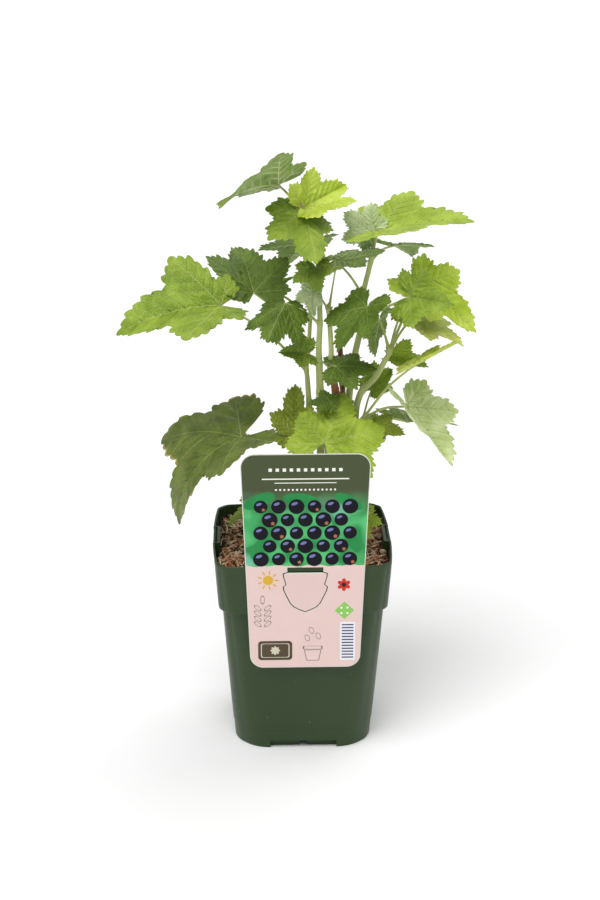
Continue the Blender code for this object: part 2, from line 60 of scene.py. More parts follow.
RIM_BOW = 3.5
BASE_BOW = 0.8
RIM_CORNER = 9.0
BASE_CORNER = 26.0
FLOOR_UNDERSIDE = 7.0
RIDGE_HEIGHT = 16.0
RIDGE_STEP = 0.4
POT_OVERLAP = 0.6
LEAST_CORNER = 2.0
CORNER_STEPS = 15
SIDE_STEPS = 18
LIP_STEPS = 9
DISC_SIDES = 48
CREASE = 32


def square_ring(half, corner, bow, height):
    """Points round a square with round corners whose sides swell outwards.

    Each corner is a quarter circle and each side a straight run. A point is then moved out from
    the middle by the bow times one less the square of its way along the side.
    """
    straight = half - corner
    turn = np.radians(np.linspace(0, 90, CORNER_STEPS))
    arc = np.column_stack([straight + corner * np.cos(turn), straight + corner * np.sin(turn)])
    along = np.linspace(straight, -straight, SIDE_STEPS + 1)[1:-1]
    quarter = np.vstack([arc, np.column_stack([along, np.full(len(along), half)])])
    turns = [np.array([[c, s], [-s, c]]) for c, s in ((1, 0), (0, 1), (-1, 0), (0, -1))]
    ring = np.vstack([quarter @ turn_by for turn_by in turns])
    least = np.abs(ring).min(axis=1)
    most = np.abs(ring).max(axis=1)
    swell = bow * np.clip(1 - (least / most) ** 2, 0, 1)
    return np.column_stack([ring * (1 + swell / most)[:, None], np.full(len(ring), height)])


def pot_ring(half, height, inset=0.0):
    """One level of the pot: the corner tightens and the sides bow more in step with the height."""
    share = height / POT_HEIGHT
    corner = BASE_CORNER + (RIM_CORNER - BASE_CORNER) * share - inset
    bow = BASE_BOW + (RIM_BOW - BASE_BOW) * share
    return square_ring(half - inset, max(corner, LEAST_CORNER), bow, height)


def body_half(height):
    """Half width of the tapering body, in a straight line from the base to the collar."""
    return BASE_HALF + (BODY_TOP_HALF - BASE_HALF) * height / STEP_HEIGHT


def grid_faces(rows, columns, wrap=True):
    """Quads between neighbours in a grid of points, with the last column joined to the first."""
    row = np.arange(rows - 1)[:, None] * columns
    column = np.arange(columns if wrap else columns - 1)[None]
    after = (column + 1) % columns
    corners = [row + column, row + after, row + columns + after, row + columns + column]
    return np.stack(corners, axis=-1).reshape(-1, 4)


def new_object(name, data):
    """An object that holds a mesh, curve, lamp or camera, linked to the scene."""
    made = bpy.data.objects.new(name, data)
    bpy.context.scene.collection.objects.link(made)
    return made


def finished_mesh(source):
    """A new mesh of an object, with its modifier or its curve's fill worked out."""
    bpy.context.view_layer.update()
    finished = source.evaluated_get(bpy.context.evaluated_depsgraph_get())
    return bpy.data.meshes.new_from_object(finished)


def round_angles(count):
    """Even angles once round a circle, from 0, in radians."""
    return np.linspace(0, 2 * np.pi, count, endpoint=False)


def new_mesh(name, points, faces, materials, slots=None, smooth=True):
    """An object from points in mm and lists of faces, with a material slot for each face."""
    mesh = bpy.data.meshes.new(name)
    mesh.from_pydata((np.asarray(points) * MM).tolist(), [], faces)
    for material in materials:
        mesh.materials.append(material)
    if slots is not None:
        mesh.polygons.foreach_set("material_index", np.asarray(slots, np.int32))
    mesh.polygons.foreach_set("use_smooth", np.full(len(mesh.polygons), smooth))
    return new_object(name, mesh)


def closed_loft(name, rings, materials=()):
    """A surface through level rings from the first to the last, with both ends closed flat."""
    count = len(rings[0])
    faces = grid_faces(len(rings), count).tolist()
    last = (len(rings) - 1) * count
    faces.append(list(range(count))[::-1])
    faces.append(list(range(last, last + count)))
    return new_mesh(name, np.concatenate(rings), faces, materials)


def box_piece(name, centre, size):
    """The eight corners of a box about its centre, used to add to the pot or cut it."""
    signs = np.array([(-1, -1), (1, -1), (1, 1), (-1, 1)])
    low = np.column_stack([signs, np.full(4, -1)])
    high = np.column_stack([signs, np.full(4, 1)])
    rings = [np.array(centre) + level * np.array(size) / 2 for level in (low, high)]
    return closed_loft(name, rings)


def disc_piece(name, centre, radius, height):
    """A short upright cylinder, as two circles about its centre."""
    angle = round_angles(DISC_SIDES)
    level = np.zeros(DISC_SIDES)
    circle = np.column_stack([radius * np.cos(angle), radius * np.sin(angle), level])
    lift = np.array([0, 0, height / 2])
    return closed_loft(name, [circle + centre - lift, circle + centre + lift])


def with_tools(target, operation, tools):
    """Adds the tool pieces to the target, or cuts them from it, and removes them."""
    group = bpy.data.collections.new(operation)
    bpy.context.scene.collection.children.link(group)
    for tool in tools:
        bpy.context.scene.collection.objects.unlink(tool)
        group.objects.link(tool)
    modifier = target.modifiers.new(operation, "BOOLEAN")
    modifier.operation = operation
    modifier.operand_type = "COLLECTION"
    modifier.collection = group
    modifier.solver = "EXACT"
    mesh = finished_mesh(target)
    target.modifiers.remove(modifier)
    target.data = mesh
    for tool in tools:
        bpy.data.objects.remove(tool)
    bpy.data.collections.remove(group)


def linear(code):
    """A hex sRGB colour as linear red, green, blue and full alpha."""
    values = [int(code[i : i + 2], 16) / 255 for i in (1, 3, 5)]
    return (*[v / 12.92 if v <= 0.04045 else ((v + 0.055) / 1.055) ** 2.4 for v in values], 1.0)


# Inputs of a colour Mix node, by number: its factor and its two colours.
BY, FROM, TO = 0, 6, 7


def add(tree, kind, inputs=None, **settings):
    """Adds one shader node. Settings are its properties. Inputs hold values, sockets or nodes, and
    a node stands for the first of its outputs that is in use."""
    made = tree.nodes.new("ShaderNode" + kind)
    for name, value in settings.items():
        setattr(made, name, value)
    for name, value in (inputs or {}).items():
        if isinstance(value, bpy.types.Node):
            value = next(socket for socket in value.outputs if socket.enabled)
        if isinstance(value, bpy.types.NodeSocket):
            tree.links.new(value, made.inputs[name])
        else:
            made.inputs[name].default_value = value
    return made


def new_material(name):
    """An empty material, its tree, and the object's own coordinates in it."""
    made = bpy.data.materials.new(name)
    made.use_nodes = True
    made.node_tree.nodes.clear()
    return made, made.node_tree, add(made.node_tree, "TexCoord").outputs["Object"]


def moulded_polypropylene():
    """Injection moulded polypropylene: a satin dark green skin with a faint orange peel, and
    pale flecks of dust and scratches a millimetre or so across."""
    made, tree, place = new_material("moulded_polypropylene")
    deep, light, dust = linear("#233816"), linear("#2c421e"), linear("#8fa384")
    cloud = add(tree, "TexNoise", {"Vector": place, "Scale": PER_MM / 45, "Detail": 3.0})
    tone = add(tree, "Mix", {BY: cloud, FROM: deep, TO: light}, data_type="RGBA")
    speck = add(tree, "TexNoise", {"Vector": place, "Scale": PER_MM / 2.6, "Detail": 4.0})
    rare = add(tree, "MapRange", {"Value": speck, "From Min": 0.71, "From Max": 0.78, "To Max": 0.5})
    flecked = add(tree, "Mix", {BY: rare, FROM: tone, TO: dust}, data_type="RGBA")
    gloss = {"From Min": 0.3, "From Max": 0.7, "To Min": 0.34, "To Max": 0.46}
    worn = add(tree, "MapRange", {"Value": cloud, **gloss})
    peel = add(tree, "TexNoise", {"Vector": place, "Scale": PER_MM / 1.4, "Detail": 2.0})
    bump = add(tree, "Bump", {"Height": peel, "Strength": 0.12, "Distance": 0.1 * MM})
    skin = {"Base Color": flecked, "Roughness": worn, "IOR": 1.49, "Specular IOR Level": 0.4}
    shader = add(tree, "BsdfPrincipled", {**skin, "Normal": bump})
    add(tree, "OutputMaterial", {"Surface": shader})
    return made


def pot_rings():
    """The pot's profile, up the outside, over the rounded lip and down the inside."""
    lip = POT_WALL / 2
    turn = np.radians(np.linspace(0, 180, LIP_STEPS))
    soft, cut = 0.8, 0.25
    under_collar = BODY_TOP_HALF + RIDGE_STEP
    inner_step = STEP_HEIGHT + POT_WALL
    floor_top = FLOOR_UNDERSIDE + POT_WALL
    ridge_half = body_half(RIDGE_HEIGHT) + RIDGE_STEP
    outside = [
        (body_half(FLOOR_UNDERSIDE) - POT_WALL, FLOOR_UNDERSIDE),
        (BASE_HALF - POT_WALL, soft / 2),
        (BASE_HALF - POT_WALL + soft / 2, 0.0),
        (BASE_HALF - soft, 0.0),
        (BASE_HALF - cut, cut),
        (BASE_HALF, soft),
        *[(body_half(height), height) for height in (2, 8, 14.6, 15.6)],
        (ridge_half - 0.1, RIDGE_HEIGHT - 0.1),
        (ridge_half, RIDGE_HEIGHT + 0.4),
        (ridge_half + 0.05, RIDGE_HEIGHT + 1.4),
        *[(body_half(height) + RIDGE_STEP, height) for height in (45, 80, 112)],
        (under_collar, STEP_HEIGHT - soft),
        (under_collar + cut, STEP_HEIGHT - 0.2),
        (under_collar + soft, STEP_HEIGHT),
        (COLLAR_FOOT_HALF - soft, STEP_HEIGHT),
        (COLLAR_FOOT_HALF - cut, STEP_HEIGHT + cut),
        (COLLAR_FOOT_HALF, STEP_HEIGHT + soft),
        (COLLAR_FOOT_HALF + 0.1, STEP_HEIGHT + 2.5),
        (COLLAR_FOOT_HALF + 1.1, STEP_HEIGHT + COLLAR_HEIGHT / 2),
        (RIM_HALF - 0.1, POT_HEIGHT - 3),
    ]
    over = [
        (RIM_HALF - lip + lip * math.cos(a), POT_HEIGHT - lip + lip * math.sin(a)) for a in turn
    ]
    inside = [
        (RIM_HALF - POT_WALL - 0.1, POT_HEIGHT - 3),
        (COLLAR_FOOT_HALF - POT_WALL, inner_step + 0.6),
        (COLLAR_FOOT_HALF - POT_WALL - 0.6, inner_step),
        (under_collar - POT_WALL, inner_step),
        (body_half(floor_top) + RIDGE_STEP - POT_WALL, floor_top),
    ]
    return [pot_ring(half, height) for half, height in outside + over + inside]


def build_pot():
    """The lofted wall, then feet, plinths, recesses, drain holes and bars as in the solid pot."""
    wall = closed_loft("nursery_pot", pot_rings(), [moulded_polypropylene()])
    sides = ((0, -1), (1, 0), (0, 1), (-1, 0))

    def side_box(name, side, out, height, wide, deep, high):
        """A box whose middle lies out from the axis towards one side, and is wide along it."""
        size = (wide, deep, high) if side[1] else (deep, wide, high)
        return box_piece(name, (side[0] * out, side[1] * out, height), size)

    plinth_half, plinth_length, plinth_notch = 46.5, 58.0, 6.0
    plinth_height = FLOOR_UNDERSIDE + POT_OVERLAP
    bridge_length, bridge_height, bridge_thickness, bridge_inset = 31.0, 3.0, 1.4, 0.5
    recess_depth, recess_height = 3.4, 9.0
    pad_radius, drain_radius, drain_place = 13.0, 4.5, 26
    collar_front = RIM_HALF + RIM_BOW
    under = [disc_piece("pad", (0, 0, plinth_height / 2), pad_radius, plinth_height)]
    backing_depth = recess_depth + POT_WALL
    backing_height = recess_height + POT_OVERLAP
    backing_out = collar_front - backing_depth / 2 - POT_OVERLAP
    backing_wide = bridge_length + 2 * POT_WALL
    backing_place = POT_HEIGHT - backing_height / 2
    for side in sides:
        plinth = (plinth_half, plinth_height / 2, plinth_length, POT_WALL, plinth_height)
        backing = (backing_out, backing_place, backing_wide, backing_depth, backing_height)
        under.append(side_box("plinth", side, *plinth))
        under.append(side_box("backing", side, *backing))
    with_tools(wall, "UNION", under)

    beyond = 2.0
    foot_gap, foot_cut = 50.0, 6.0
    cuts = []
    for side in sides:
        foot = (BASE_HALF + BASE_BOW, (foot_cut - beyond) / 2, foot_gap, 3 * beyond, foot_cut + beyond)
        recess_out = collar_front - (recess_depth - beyond) / 2
        recess = (recess_out, POT_HEIGHT, bridge_length, recess_depth + beyond, 2 * recess_height)
        cuts.append(side_box("foot_cut", side, *foot))
        cuts.append(side_box("recess", side, *recess))
    notch_high = FLOOR_UNDERSIDE - POT_OVERLAP + beyond
    for side in sides[::2]:
        notch = (plinth_half, notch_high / 2 - beyond, plinth_notch, 3 * POT_WALL, notch_high)
        cuts.append(side_box("notch", side, *notch))
    for x, y in ((1, 1), (1, -1), (-1, 1), (-1, -1)):
        centre = (x * drain_place, y * drain_place, FLOOR_UNDERSIDE)
        cuts.append(disc_piece("drain", centre, drain_radius, 4 * FLOOR_UNDERSIDE))
    with_tools(wall, "DIFFERENCE", cuts)

    bar_drop = 0.3
    bar_out = collar_front - bridge_thickness / 2 - bridge_inset
    bar_place = POT_HEIGHT - bridge_height / 2 - bar_drop
    bar_size = (bridge_length + 2 * POT_OVERLAP, bridge_thickness, bridge_height)
    bars = [side_box("bar", side, bar_out, bar_place, *bar_size) for side in sides]
    with_tools(wall, "UNION", bars)
    wall.data.polygons.foreach_set("use_smooth", np.ones(len(wall.data.polygons), bool))
    wall.data.set_sharp_from_angle(angle=math.radians(CREASE))
    return wall


pot = build_pot()
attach(pot, "root")
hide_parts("pot")

# The compost is a peat and bark mix, filled to a finger's width under the rim and settled.
# It is loose: a lumpy dark bed with shreds of bark and wood fibre lying on it every way.
COMPOST_TOP = 143.0
GAP = 0.3
COMPOST_CLEAR = POT_WALL + GAP
COMPOST_SHARE = (COMPOST_TOP - STEP_HEIGHT) / COLLAR_HEIGHT
COMPOST_HALF = COLLAR_FOOT_HALF + (RIM_HALF - COLLAR_FOOT_HALF) * COMPOST_SHARE
RECESS_HALF_WIDTH = 17.5
RECESS_BACK = 61.2
BED_STEPS = 64
BED_HUB = 0.01
BED_EDGE_DROP = 1.5
SHRED_COUNT = 3000
SHRED_CLEAR = 0.4
SHRED_TILT = 0.28
SHRED_STEEPEST = 0.8
SHRED_HEAPED = 1.6
SHRED_BEND = 0.12
SHRED_FLATNESS = 2.5
SHRED_WIDTHS = (0.35, 1.0, 0.9, 0.3)


def wall_room(x, y):
    """Distance in mm from a place on the compost out to the pot's outer face.

    It takes off the bow that square_ring gives the sides, and measures what is left in a square
    with round corners.
    """
    share = COMPOST_TOP / POT_HEIGHT
    corner = BASE_CORNER + (RIM_CORNER - BASE_CORNER) * share
    bow = BASE_BOW + (RIM_BOW - BASE_BOW) * share
    size = np.abs([x, y])
    most = np.maximum(size.max(axis=0), 1e-6)
    swell = bow * (1 - (size.min(axis=0) / most) ** 2)
    beyond = np.maximum(size * (1 - swell / most) - (COMPOST_HALF - corner), 0)
    return corner - np.hypot(*beyond)


def lumps(x, y):
    """Height of the bed in mm: a few waves of different length and direction, added up."""
    broad = 0.9 * np.sin(x / 9.5 + 1.3) * np.cos(y / 11.0 - 0.4)
    middling = 0.55 * np.sin(x / 3.7 + y / 5.1) + 0.45 * np.cos(y / 3.1 - x / 6.3 + 2.0)
    fine = 0.35 * np.sin(x / 1.6 + 2.1) * np.sin(y / 1.4 + x / 7.0)
    return broad + middling + fine - 0.6


def peat():
    """Moist peat: near black brown crumbs of one to three millimetres that give back no gloss."""
    made, tree, place = new_material("moist_peat")
    crumb = add(tree, "TexNoise", {"Vector": place, "Scale": PER_MM / 2.2, "Detail": 5.0})
    dark, brown = linear("#2a1c13"), linear("#745340")
    tone = add(tree, "Mix", {BY: crumb, FROM: dark, TO: brown}, data_type="RGBA")
    bump = add(tree, "Bump", {"Height": crumb, "Strength": 0.8, "Distance": 0.8 * MM})
    shader = add(tree, "BsdfPrincipled", {"Base Color": tone, "Roughness": 0.95, "Normal": bump})
    add(tree, "OutputMaterial", {"Surface": shader})
    return made


def shredded_wood(name, low, high):
    """Shredded bark and wood: split fibres, streaked over half a millimetre, dull and dry."""
    made, tree, place = new_material(name)
    streak = add(tree, "TexNoise", {"Vector": place, "Scale": PER_MM / 1.2, "Detail": 3.0})
    tone = add(tree, "Mix", {BY: streak, FROM: linear(low), TO: linear(high)}, data_type="RGBA")
    shader = add(tree, "BsdfPrincipled", {"Base Color": tone, "Roughness": 0.85})
    add(tree, "OutputMaterial", {"Surface": shader})
    return made


def build_bed():
    """Level rings shrunk towards the middle and lifted by the lumps, over plain sides."""
    floor = FLOOR_UNDERSIDE + COMPOST_CLEAR
    lower_step = STEP_HEIGHT + COMPOST_CLEAR
    sides = [
        pot_ring(body_half(floor), floor, COMPOST_CLEAR),
        pot_ring(BODY_TOP_HALF, lower_step, COMPOST_CLEAR),
        pot_ring(COLLAR_FOOT_HALF, lower_step, COMPOST_CLEAR),
    ]
    edge = pot_ring(COMPOST_HALF, COMPOST_TOP, COMPOST_CLEAR)
    shares = np.linspace(1, BED_HUB, BED_STEPS)[:, None, None]
    top = edge[None] * np.array([1, 1, 0]) * shares
    top[:, :, 2] = COMPOST_TOP + lumps(top[:, :, 0], top[:, :, 1])
    top[0, :, 2] = COMPOST_TOP - BED_EDGE_DROP
    return closed_loft("compost_bed", sides + list(top), [peat()])


def build_shreds(name, count, length, width, materials, odds, seed):
    """Four sided splinters, each a bent line with a flat section that narrows at both ends.

    A point of splinter n is its centre, plus its direction times the way along, plus its bend
    times the square of that way, plus a corner of its section. Splinters that would reach into
    the wall, or into the back of a recess in the rim, are left out.
    """
    chance = np.random.default_rng(seed)
    half = COMPOST_HALF + RIM_BOW
    x, y = chance.uniform(-half, half, (2, count))
    aim = chance.uniform(0, 2 * np.pi, count)
    tilt = np.clip(chance.normal(0, SHRED_TILT, count), -SHRED_STEEPEST, SHRED_STEEPEST)
    long = chance.uniform(*length, count)
    wide = chance.uniform(*width, count)
    ahead = np.column_stack([np.cos(tilt) * np.cos(aim), np.cos(tilt) * np.sin(aim), np.sin(tilt)])
    level = np.column_stack([-np.sin(aim), np.cos(aim), np.zeros(count)])
    lift = np.abs(np.sin(tilt)) * long / 2 + chance.uniform(0, SHRED_HEAPED, count)
    centre = np.column_stack([x, y, COMPOST_TOP + lumps(x, y) + lift])
    way = np.linspace(-1, 1, len(SHRED_WIDTHS))
    narrow = np.array(SHRED_WIDTHS)
    bend = chance.normal(0, SHRED_BEND, count) * long
    axis = centre[:, None] + ahead[:, None] * (way * 0.5)[None, :, None] * long[:, None, None]
    axis = axis + level[:, None] * ((way**2)[None, :] * bend[:, None])[:, :, None]
    roll = chance.uniform(0, np.pi, count)
    upward = np.cross(ahead, level)
    flat = level * np.cos(roll)[:, None] + upward * np.sin(roll)[:, None]
    thin = np.cross(ahead, flat)
    corner = np.array([(1, 1), (-1, 1), (-1, -1), (1, -1)])
    across = flat[:, None] * corner[:, 0][None, :, None] * (wide / 2)[:, None, None]
    through = thin[:, None] * corner[:, 1][None, :, None] * (wide / 2 / SHRED_FLATNESS)[:, None, None]
    section = (across + through)[:, None] * narrow[None, :, None, None]
    points = axis[:, :, None] + section
    room = wall_room(points[..., 0], points[..., 1]).min(axis=(1, 2))
    size = np.abs(points[..., :2])
    in_recess = (size.min(axis=-1) < RECESS_HALF_WIDTH) & (size.max(axis=-1) > RECESS_BACK)
    inside = (room > POT_WALL + SHRED_CLEAR) & ~in_recess.any(axis=(1, 2))
    points = points[inside]
    kept = len(points)
    sides = grid_faces(4, 4)
    ends = np.array([(3, 2, 1, 0), (12, 13, 14, 15)])
    faces = (np.vstack([sides, ends])[None] + 16 * np.arange(kept)[:, None, None]).reshape(-1, 4)
    slots = np.repeat(chance.choice(len(materials), kept, p=odds), len(sides) + 2)
    return new_mesh(name, points.reshape(-1, 3), faces.tolist(), materials, slots, False)


compost_bed = build_bed()
shred_finishes = [
    shredded_wood("dark_bark_shreds", "#37251a", "#5a3f2e"),
    shredded_wood("brown_bark_shreds", "#b07f60", "#dbad8a"),
    shredded_wood("red_bark_shreds", "#9c5a3e", "#c9855f"),
    shredded_wood("dry_wood_fibre", "#e6c7a4", "#fae9d4"),
]
bark_fibres = build_shreds(
    "bark_fibres", SHRED_COUNT, (6, 17), (0.7, 1.9), shred_finishes, (0.25, 0.2, 0.12, 0.43), 4
)
bark_chips = build_shreds(
    "bark_chips", SHRED_COUNT // 4, (4, 9), (2.0, 4.0), shred_finishes, (0.4, 0.36, 0.16, 0.08), 5
)
for piece in (compost_bed, bark_fibres, bark_chips):
    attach(piece, "root")
    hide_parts("compost")

# The label is a printed plastic card with round corners, hung over the bar on the front of the rim.
# A tongue is cut in it: it tucks behind the bar and comes out below, lying in its own hole.
# The print is a plain dotted pattern in plum and green over a pink panel with small signs.
LABEL_TOP_WIDTH = 92.5
LABEL_BOTTOM_WIDTH = 81.0
LABEL_TOP = 241.5
LABEL_BOTTOM = 73.5
LABEL_THICKNESS = 0.6
LABEL_CORNER = 10.0
LABEL_LEAN = 5.0
LABEL_CENTRE = 0.8
PRINT_STEP = 0.06
PRINT_EDGE = 0.65
PRINT_CORNER_STEPS = 10
PETAL_STEPS = 12
LENS_STEPS = 12
DOT_SPACING = 12.8
DOT_ROW = 10.2
DOT_SIZE = 11.4
DOT_TOP = 201.5
DOT_ROWS = 5
DOTS_IN_ROW = 6
DOT_SHARES = (0.86, 1.0, 0.93)
PICTURE_LOW = 155.4
OLIVE_HEAD = (193, 214)
TONGUE_SHOWN = 149.9
LABEL_MIDDLE = (LABEL_TOP + LABEL_BOTTOM) / 2
LABEL_HIGH = LABEL_TOP - LABEL_BOTTOM
LABEL_FRONT = RIM_HALF + RIM_BOW + GAP + LABEL_THICKNESS / 2


def on_card(points):
    """Card places (x, height, out of its face) as places in the pot's frame: the card stands in
    front of the rim and leans out by an even share of its height."""
    lean = math.atan2(LABEL_LEAN, LABEL_HIGH)
    x, height, out = np.asarray(points, float).T
    rise = (height - LABEL_MIDDLE) * math.cos(lean)
    back = -LABEL_FRONT - (LABEL_MIDDLE - POT_HEIGHT) * math.tan(lean)
    back = back - (height - LABEL_MIDDLE) * math.sin(lean) - out * math.cos(lean)
    return np.column_stack([x + LABEL_CENTRE, back, LABEL_MIDDLE + rise - out * math.sin(lean)])


def flat_shape(name, outlines, thickness, out, material):
    """A flat filled shape with holes where outlines lie in each other, laid on the card."""
    curve = bpy.data.curves.new(name, "CURVE")
    curve.dimensions = "2D"
    curve.fill_mode = "BOTH"
    curve.extrude = thickness / 2
    for outline in outlines:
        spline = curve.splines.new("POLY")
        spline.points.add(len(outline) - 1)
        spline.use_cyclic_u = True
        level = np.column_stack([outline, np.zeros(len(outline)), np.ones(len(outline))])
        spline.points.foreach_set("co", level.ravel())
    drawn = new_object(name, curve)
    mesh = finished_mesh(drawn)
    bpy.data.objects.remove(drawn)
    places = np.empty(len(mesh.vertices) * 3)
    mesh.vertices.foreach_get("co", places)
    places = places.reshape(-1, 3)
    places[:, 2] += out
    mesh.vertices.foreach_set("co", (on_card(places) * MM).ravel())
    mesh.materials.clear()
    mesh.materials.append(material)
    mesh.polygons.foreach_set("use_smooth", np.zeros(len(mesh.polygons), bool))
    mesh.update()
    return new_object(name, mesh)


def rounded(x, height, wide, high, corner, top_wide=None):
    """A rectangle or trapezium round a place, with a quarter circle at each corner."""
    turn = np.radians(np.linspace(0, 90, PRINT_CORNER_STEPS))
    points = []
    for sx, sy, start in ((1, 1, 0), (-1, 1, 90), (-1, -1, 180), (1, -1, 270)):
        half = (top_wide or wide) / 2 if sy > 0 else wide / 2
        angle = turn + math.radians(start)
        middle_x = x + sx * (half - corner)
        middle_y = height + sy * (high / 2 - corner)
        arc = [middle_x + corner * np.cos(angle), middle_y + corner * np.sin(angle)]
        points.append(np.column_stack(arc))
    return np.vstack(points)


def turned(points, degrees, place):
    """Flat points turned by an angle in degrees and moved to a place."""
    c, s = math.cos(math.radians(degrees)), math.sin(math.radians(degrees))
    return points @ np.array([[c, s], [-s, c]]) + place


def oval(x, height, wide, high, degrees=0.0, count=28):
    """An ellipse round a place, turned by an angle in degrees."""
    angle = round_angles(count)
    level = np.column_stack([wide / 2 * np.cos(angle), high / 2 * np.sin(angle)])
    return turned(level, degrees, (x, height))


def petals(x, height, radius, count, depth):
    """A flower's outline: a circle whose radius swells and narrows count times round."""
    angle = round_angles(PETAL_STEPS * count)
    reach = radius * (1 - depth + depth * np.abs(np.cos(angle * count / 2)))
    return np.column_stack([x + reach * np.sin(angle), height + reach * np.cos(angle)])


def lens(x, height, long, wide, degrees):
    """A leaf's outline: two arcs that meet in a point at each end."""
    way = np.linspace(0, np.pi, LENS_STEPS)
    upper = np.column_stack([-np.cos(way), np.sin(way)])
    shape = np.vstack([upper, -upper[1:-1]]) * (long / 2, wide / 2)
    return turned(shape, degrees, (x, height))


def printed(name, code, spread):
    """Offset print under a clear film: even ink, a little uneven over centimetres, with a sheen
    that is kept low so that the dark ink stays dark under the pale studio."""
    made, tree, place = new_material(name)
    cloud = add(tree, "TexNoise", {"Vector": place, "Scale": PER_MM / 14, "Detail": 2.0})
    ink = np.array(linear(code))
    low, high = tuple(ink * (1 - spread)), tuple(np.minimum(ink * (1 + spread), 1))
    tone = add(tree, "Mix", {BY: cloud, FROM: low, TO: high}, data_type="RGBA")
    inputs = {"Base Color": tone, "Roughness": 0.32, "Specular IOR Level": 0.14}
    shader = add(tree, "BsdfPrincipled", inputs)
    add(tree, "OutputMaterial", {"Surface": shader})
    return made


def printed_foliage():
    """The picture field: soft leaf green with paler and bluer patches a centimetre or two wide,
    passing into dark olive at the head of the card."""
    made, tree, place = new_material("printed_foliage")
    deep, fresh = linear("#2c8b4b"), linear("#58bd75")
    mist, olive = linear("#93cfc2"), linear("#4a5238")
    soft = {"Vector": place, "Detail": 1.0}
    patches = add(tree, "TexNoise", {**soft, "Scale": PER_MM / 24, "Distortion": 1.2})
    sharp = add(tree, "MapRange", {"Value": patches, "From Min": 0.38, "From Max": 0.62})
    green = add(tree, "Mix", {BY: sharp, FROM: deep, TO: fresh}, data_type="RGBA")
    light = add(tree, "TexNoise", {**soft, "Scale": PER_MM / 31})
    rare = {"From Min": 0.55, "From Max": 0.72, "To Max": 0.75}
    pale = add(tree, "MapRange", {"Value": light, **rare})
    field = add(tree, "Mix", {BY: pale, FROM: green, TO: mist}, data_type="RGBA")
    height = add(tree, "SeparateXYZ", {"Vector": place}).outputs["Z"]
    low, high = (level * MM for level in OLIVE_HEAD)
    head = add(tree, "MapRange", {"Value": height, "From Min": low, "From Max": high}, clamp=True)
    whole = add(tree, "Mix", {BY: head, FROM: field, TO: olive}, data_type="RGBA")
    inputs = {"Base Color": whole, "Roughness": 0.3, "Specular IOR Level": 0.14}
    shader = add(tree, "BsdfPrincipled", inputs)
    add(tree, "OutputMaterial", {"Surface": shader})
    return made


def tongue_outline(grow=0.0):
    """The tongue's hole from its window down to its point: half widths against height, mirrored,
    and stretched about the middle so that its edges move out by grow."""
    corners = [(13.0, 153.9), (13.0, 150.3), (16.3, 149.4), (16.1, 146.5), (14.6, 141.6)]
    corners += [(14.4, 140.2), (16.4, 138.6), (15.9, 135.4), (13.4, 130.0), (11.0, 125.0)]
    corners += [(8.4, 122.2), (4.0, 119.8), (0.0, 118.2)]
    half, height = np.array(corners).T
    middle = (height[0] + height[-1]) / 2
    right = np.column_stack([half, height - middle])
    outline = np.vstack([right, right[-2::-1] * (-1, 1)])
    reach = outline.max(axis=0)
    return outline * (reach + grow) / reach + (0, middle)


def card_half(height, inset=0.0):
    """Half the card's width at a height, less an inset."""
    share = (height - LABEL_BOTTOM) / LABEL_HIGH
    return (LABEL_BOTTOM_WIDTH + (LABEL_TOP_WIDTH - LABEL_BOTTOM_WIDTH) * share) / 2 - inset


def wavy_edge(height, inset=0.0):
    """The line where the picture ends: two short waves on each other, from left to right."""
    x = np.linspace(-card_half(height, inset), card_half(height, inset), 60)
    return np.column_stack([x, height + 0.45 * np.sin(x / 4.3) + 0.3 * np.sin(x / 1.7 + 1.0)])


def round_end(height, upward):
    """The card's rounded top or bottom within the unprinted edge, from left to right."""
    corner = LABEL_CORNER - PRINT_EDGE
    turn = np.radians(np.linspace(0, 90, PRINT_CORNER_STEPS))
    half = card_half(height, PRINT_EDGE)
    x = half - corner + corner * np.cos(turn)
    y = height + upward * (corner * np.sin(turn) - corner)
    right = np.column_stack([x, y])
    return np.vstack([right * (-1, 1), right[::-1]])


def ring(outline, shrink):
    """An outline and a smaller copy of it about its middle, which the fill leaves open."""
    middle = outline.mean(axis=0)
    return [outline, (outline - middle) * shrink + middle]


def ink(name, outlines, level, material):
    """One colour of the print: flat shapes that reach from the card up to their own level."""
    thickness = PRINT_STEP * (level + 1)
    return flat_shape(name, outlines, thickness, LABEL_THICKNESS / 2 + thickness / 2, material)


def dot_rows():
    """Places and sizes of the dots: rows a little closer than the dots in them, every other row
    set half a step aside, and sizes that take turns."""
    dots = []
    for row in range(DOT_ROWS):
        count = DOTS_IN_ROW - row % 2
        for column in range(count):
            x = (column - (count - 1) / 2) * DOT_SPACING
            size = DOT_SIZE * DOT_SHARES[(row + 2 * column) % len(DOT_SHARES)]
            dots.append((x, DOT_TOP - row * DOT_ROW, size))
    return dots


body_ink = printed("white_card", "#d9d7cc", 0.02)
card_outline = rounded(
    0, LABEL_MIDDLE, LABEL_BOTTOM_WIDTH, LABEL_HIGH, LABEL_CORNER, LABEL_TOP_WIDTH
)
tongue = tongue_outline(-0.8)
tongue = tongue[tongue[:, 1] < TONGUE_SHOWN]
print_low = LABEL_BOTTOM + PRINT_EDGE
print_top = LABEL_TOP - PRINT_EDGE
picture = np.vstack([wavy_edge(PICTURE_LOW - 1, PRINT_EDGE), round_end(print_top, 1)[::-1]])
panel = np.vstack([wavy_edge(PICTURE_LOW, PRINT_EDGE), round_end(print_low, -1)[::-1]])
dots = dot_rows()
glints = [(x - 0.12 * size, y + 0.2 * size, size) for x, y, size in dots]
tips = [(x + 0.2 * size, y - 0.24 * size, size) for x, y, size in dots[::3]]
leaf_signs = [(-33, 206, 24, 10, 24), (-3, 206.5, 26, 10, -8), (31, 205, 22, 9, -30)]
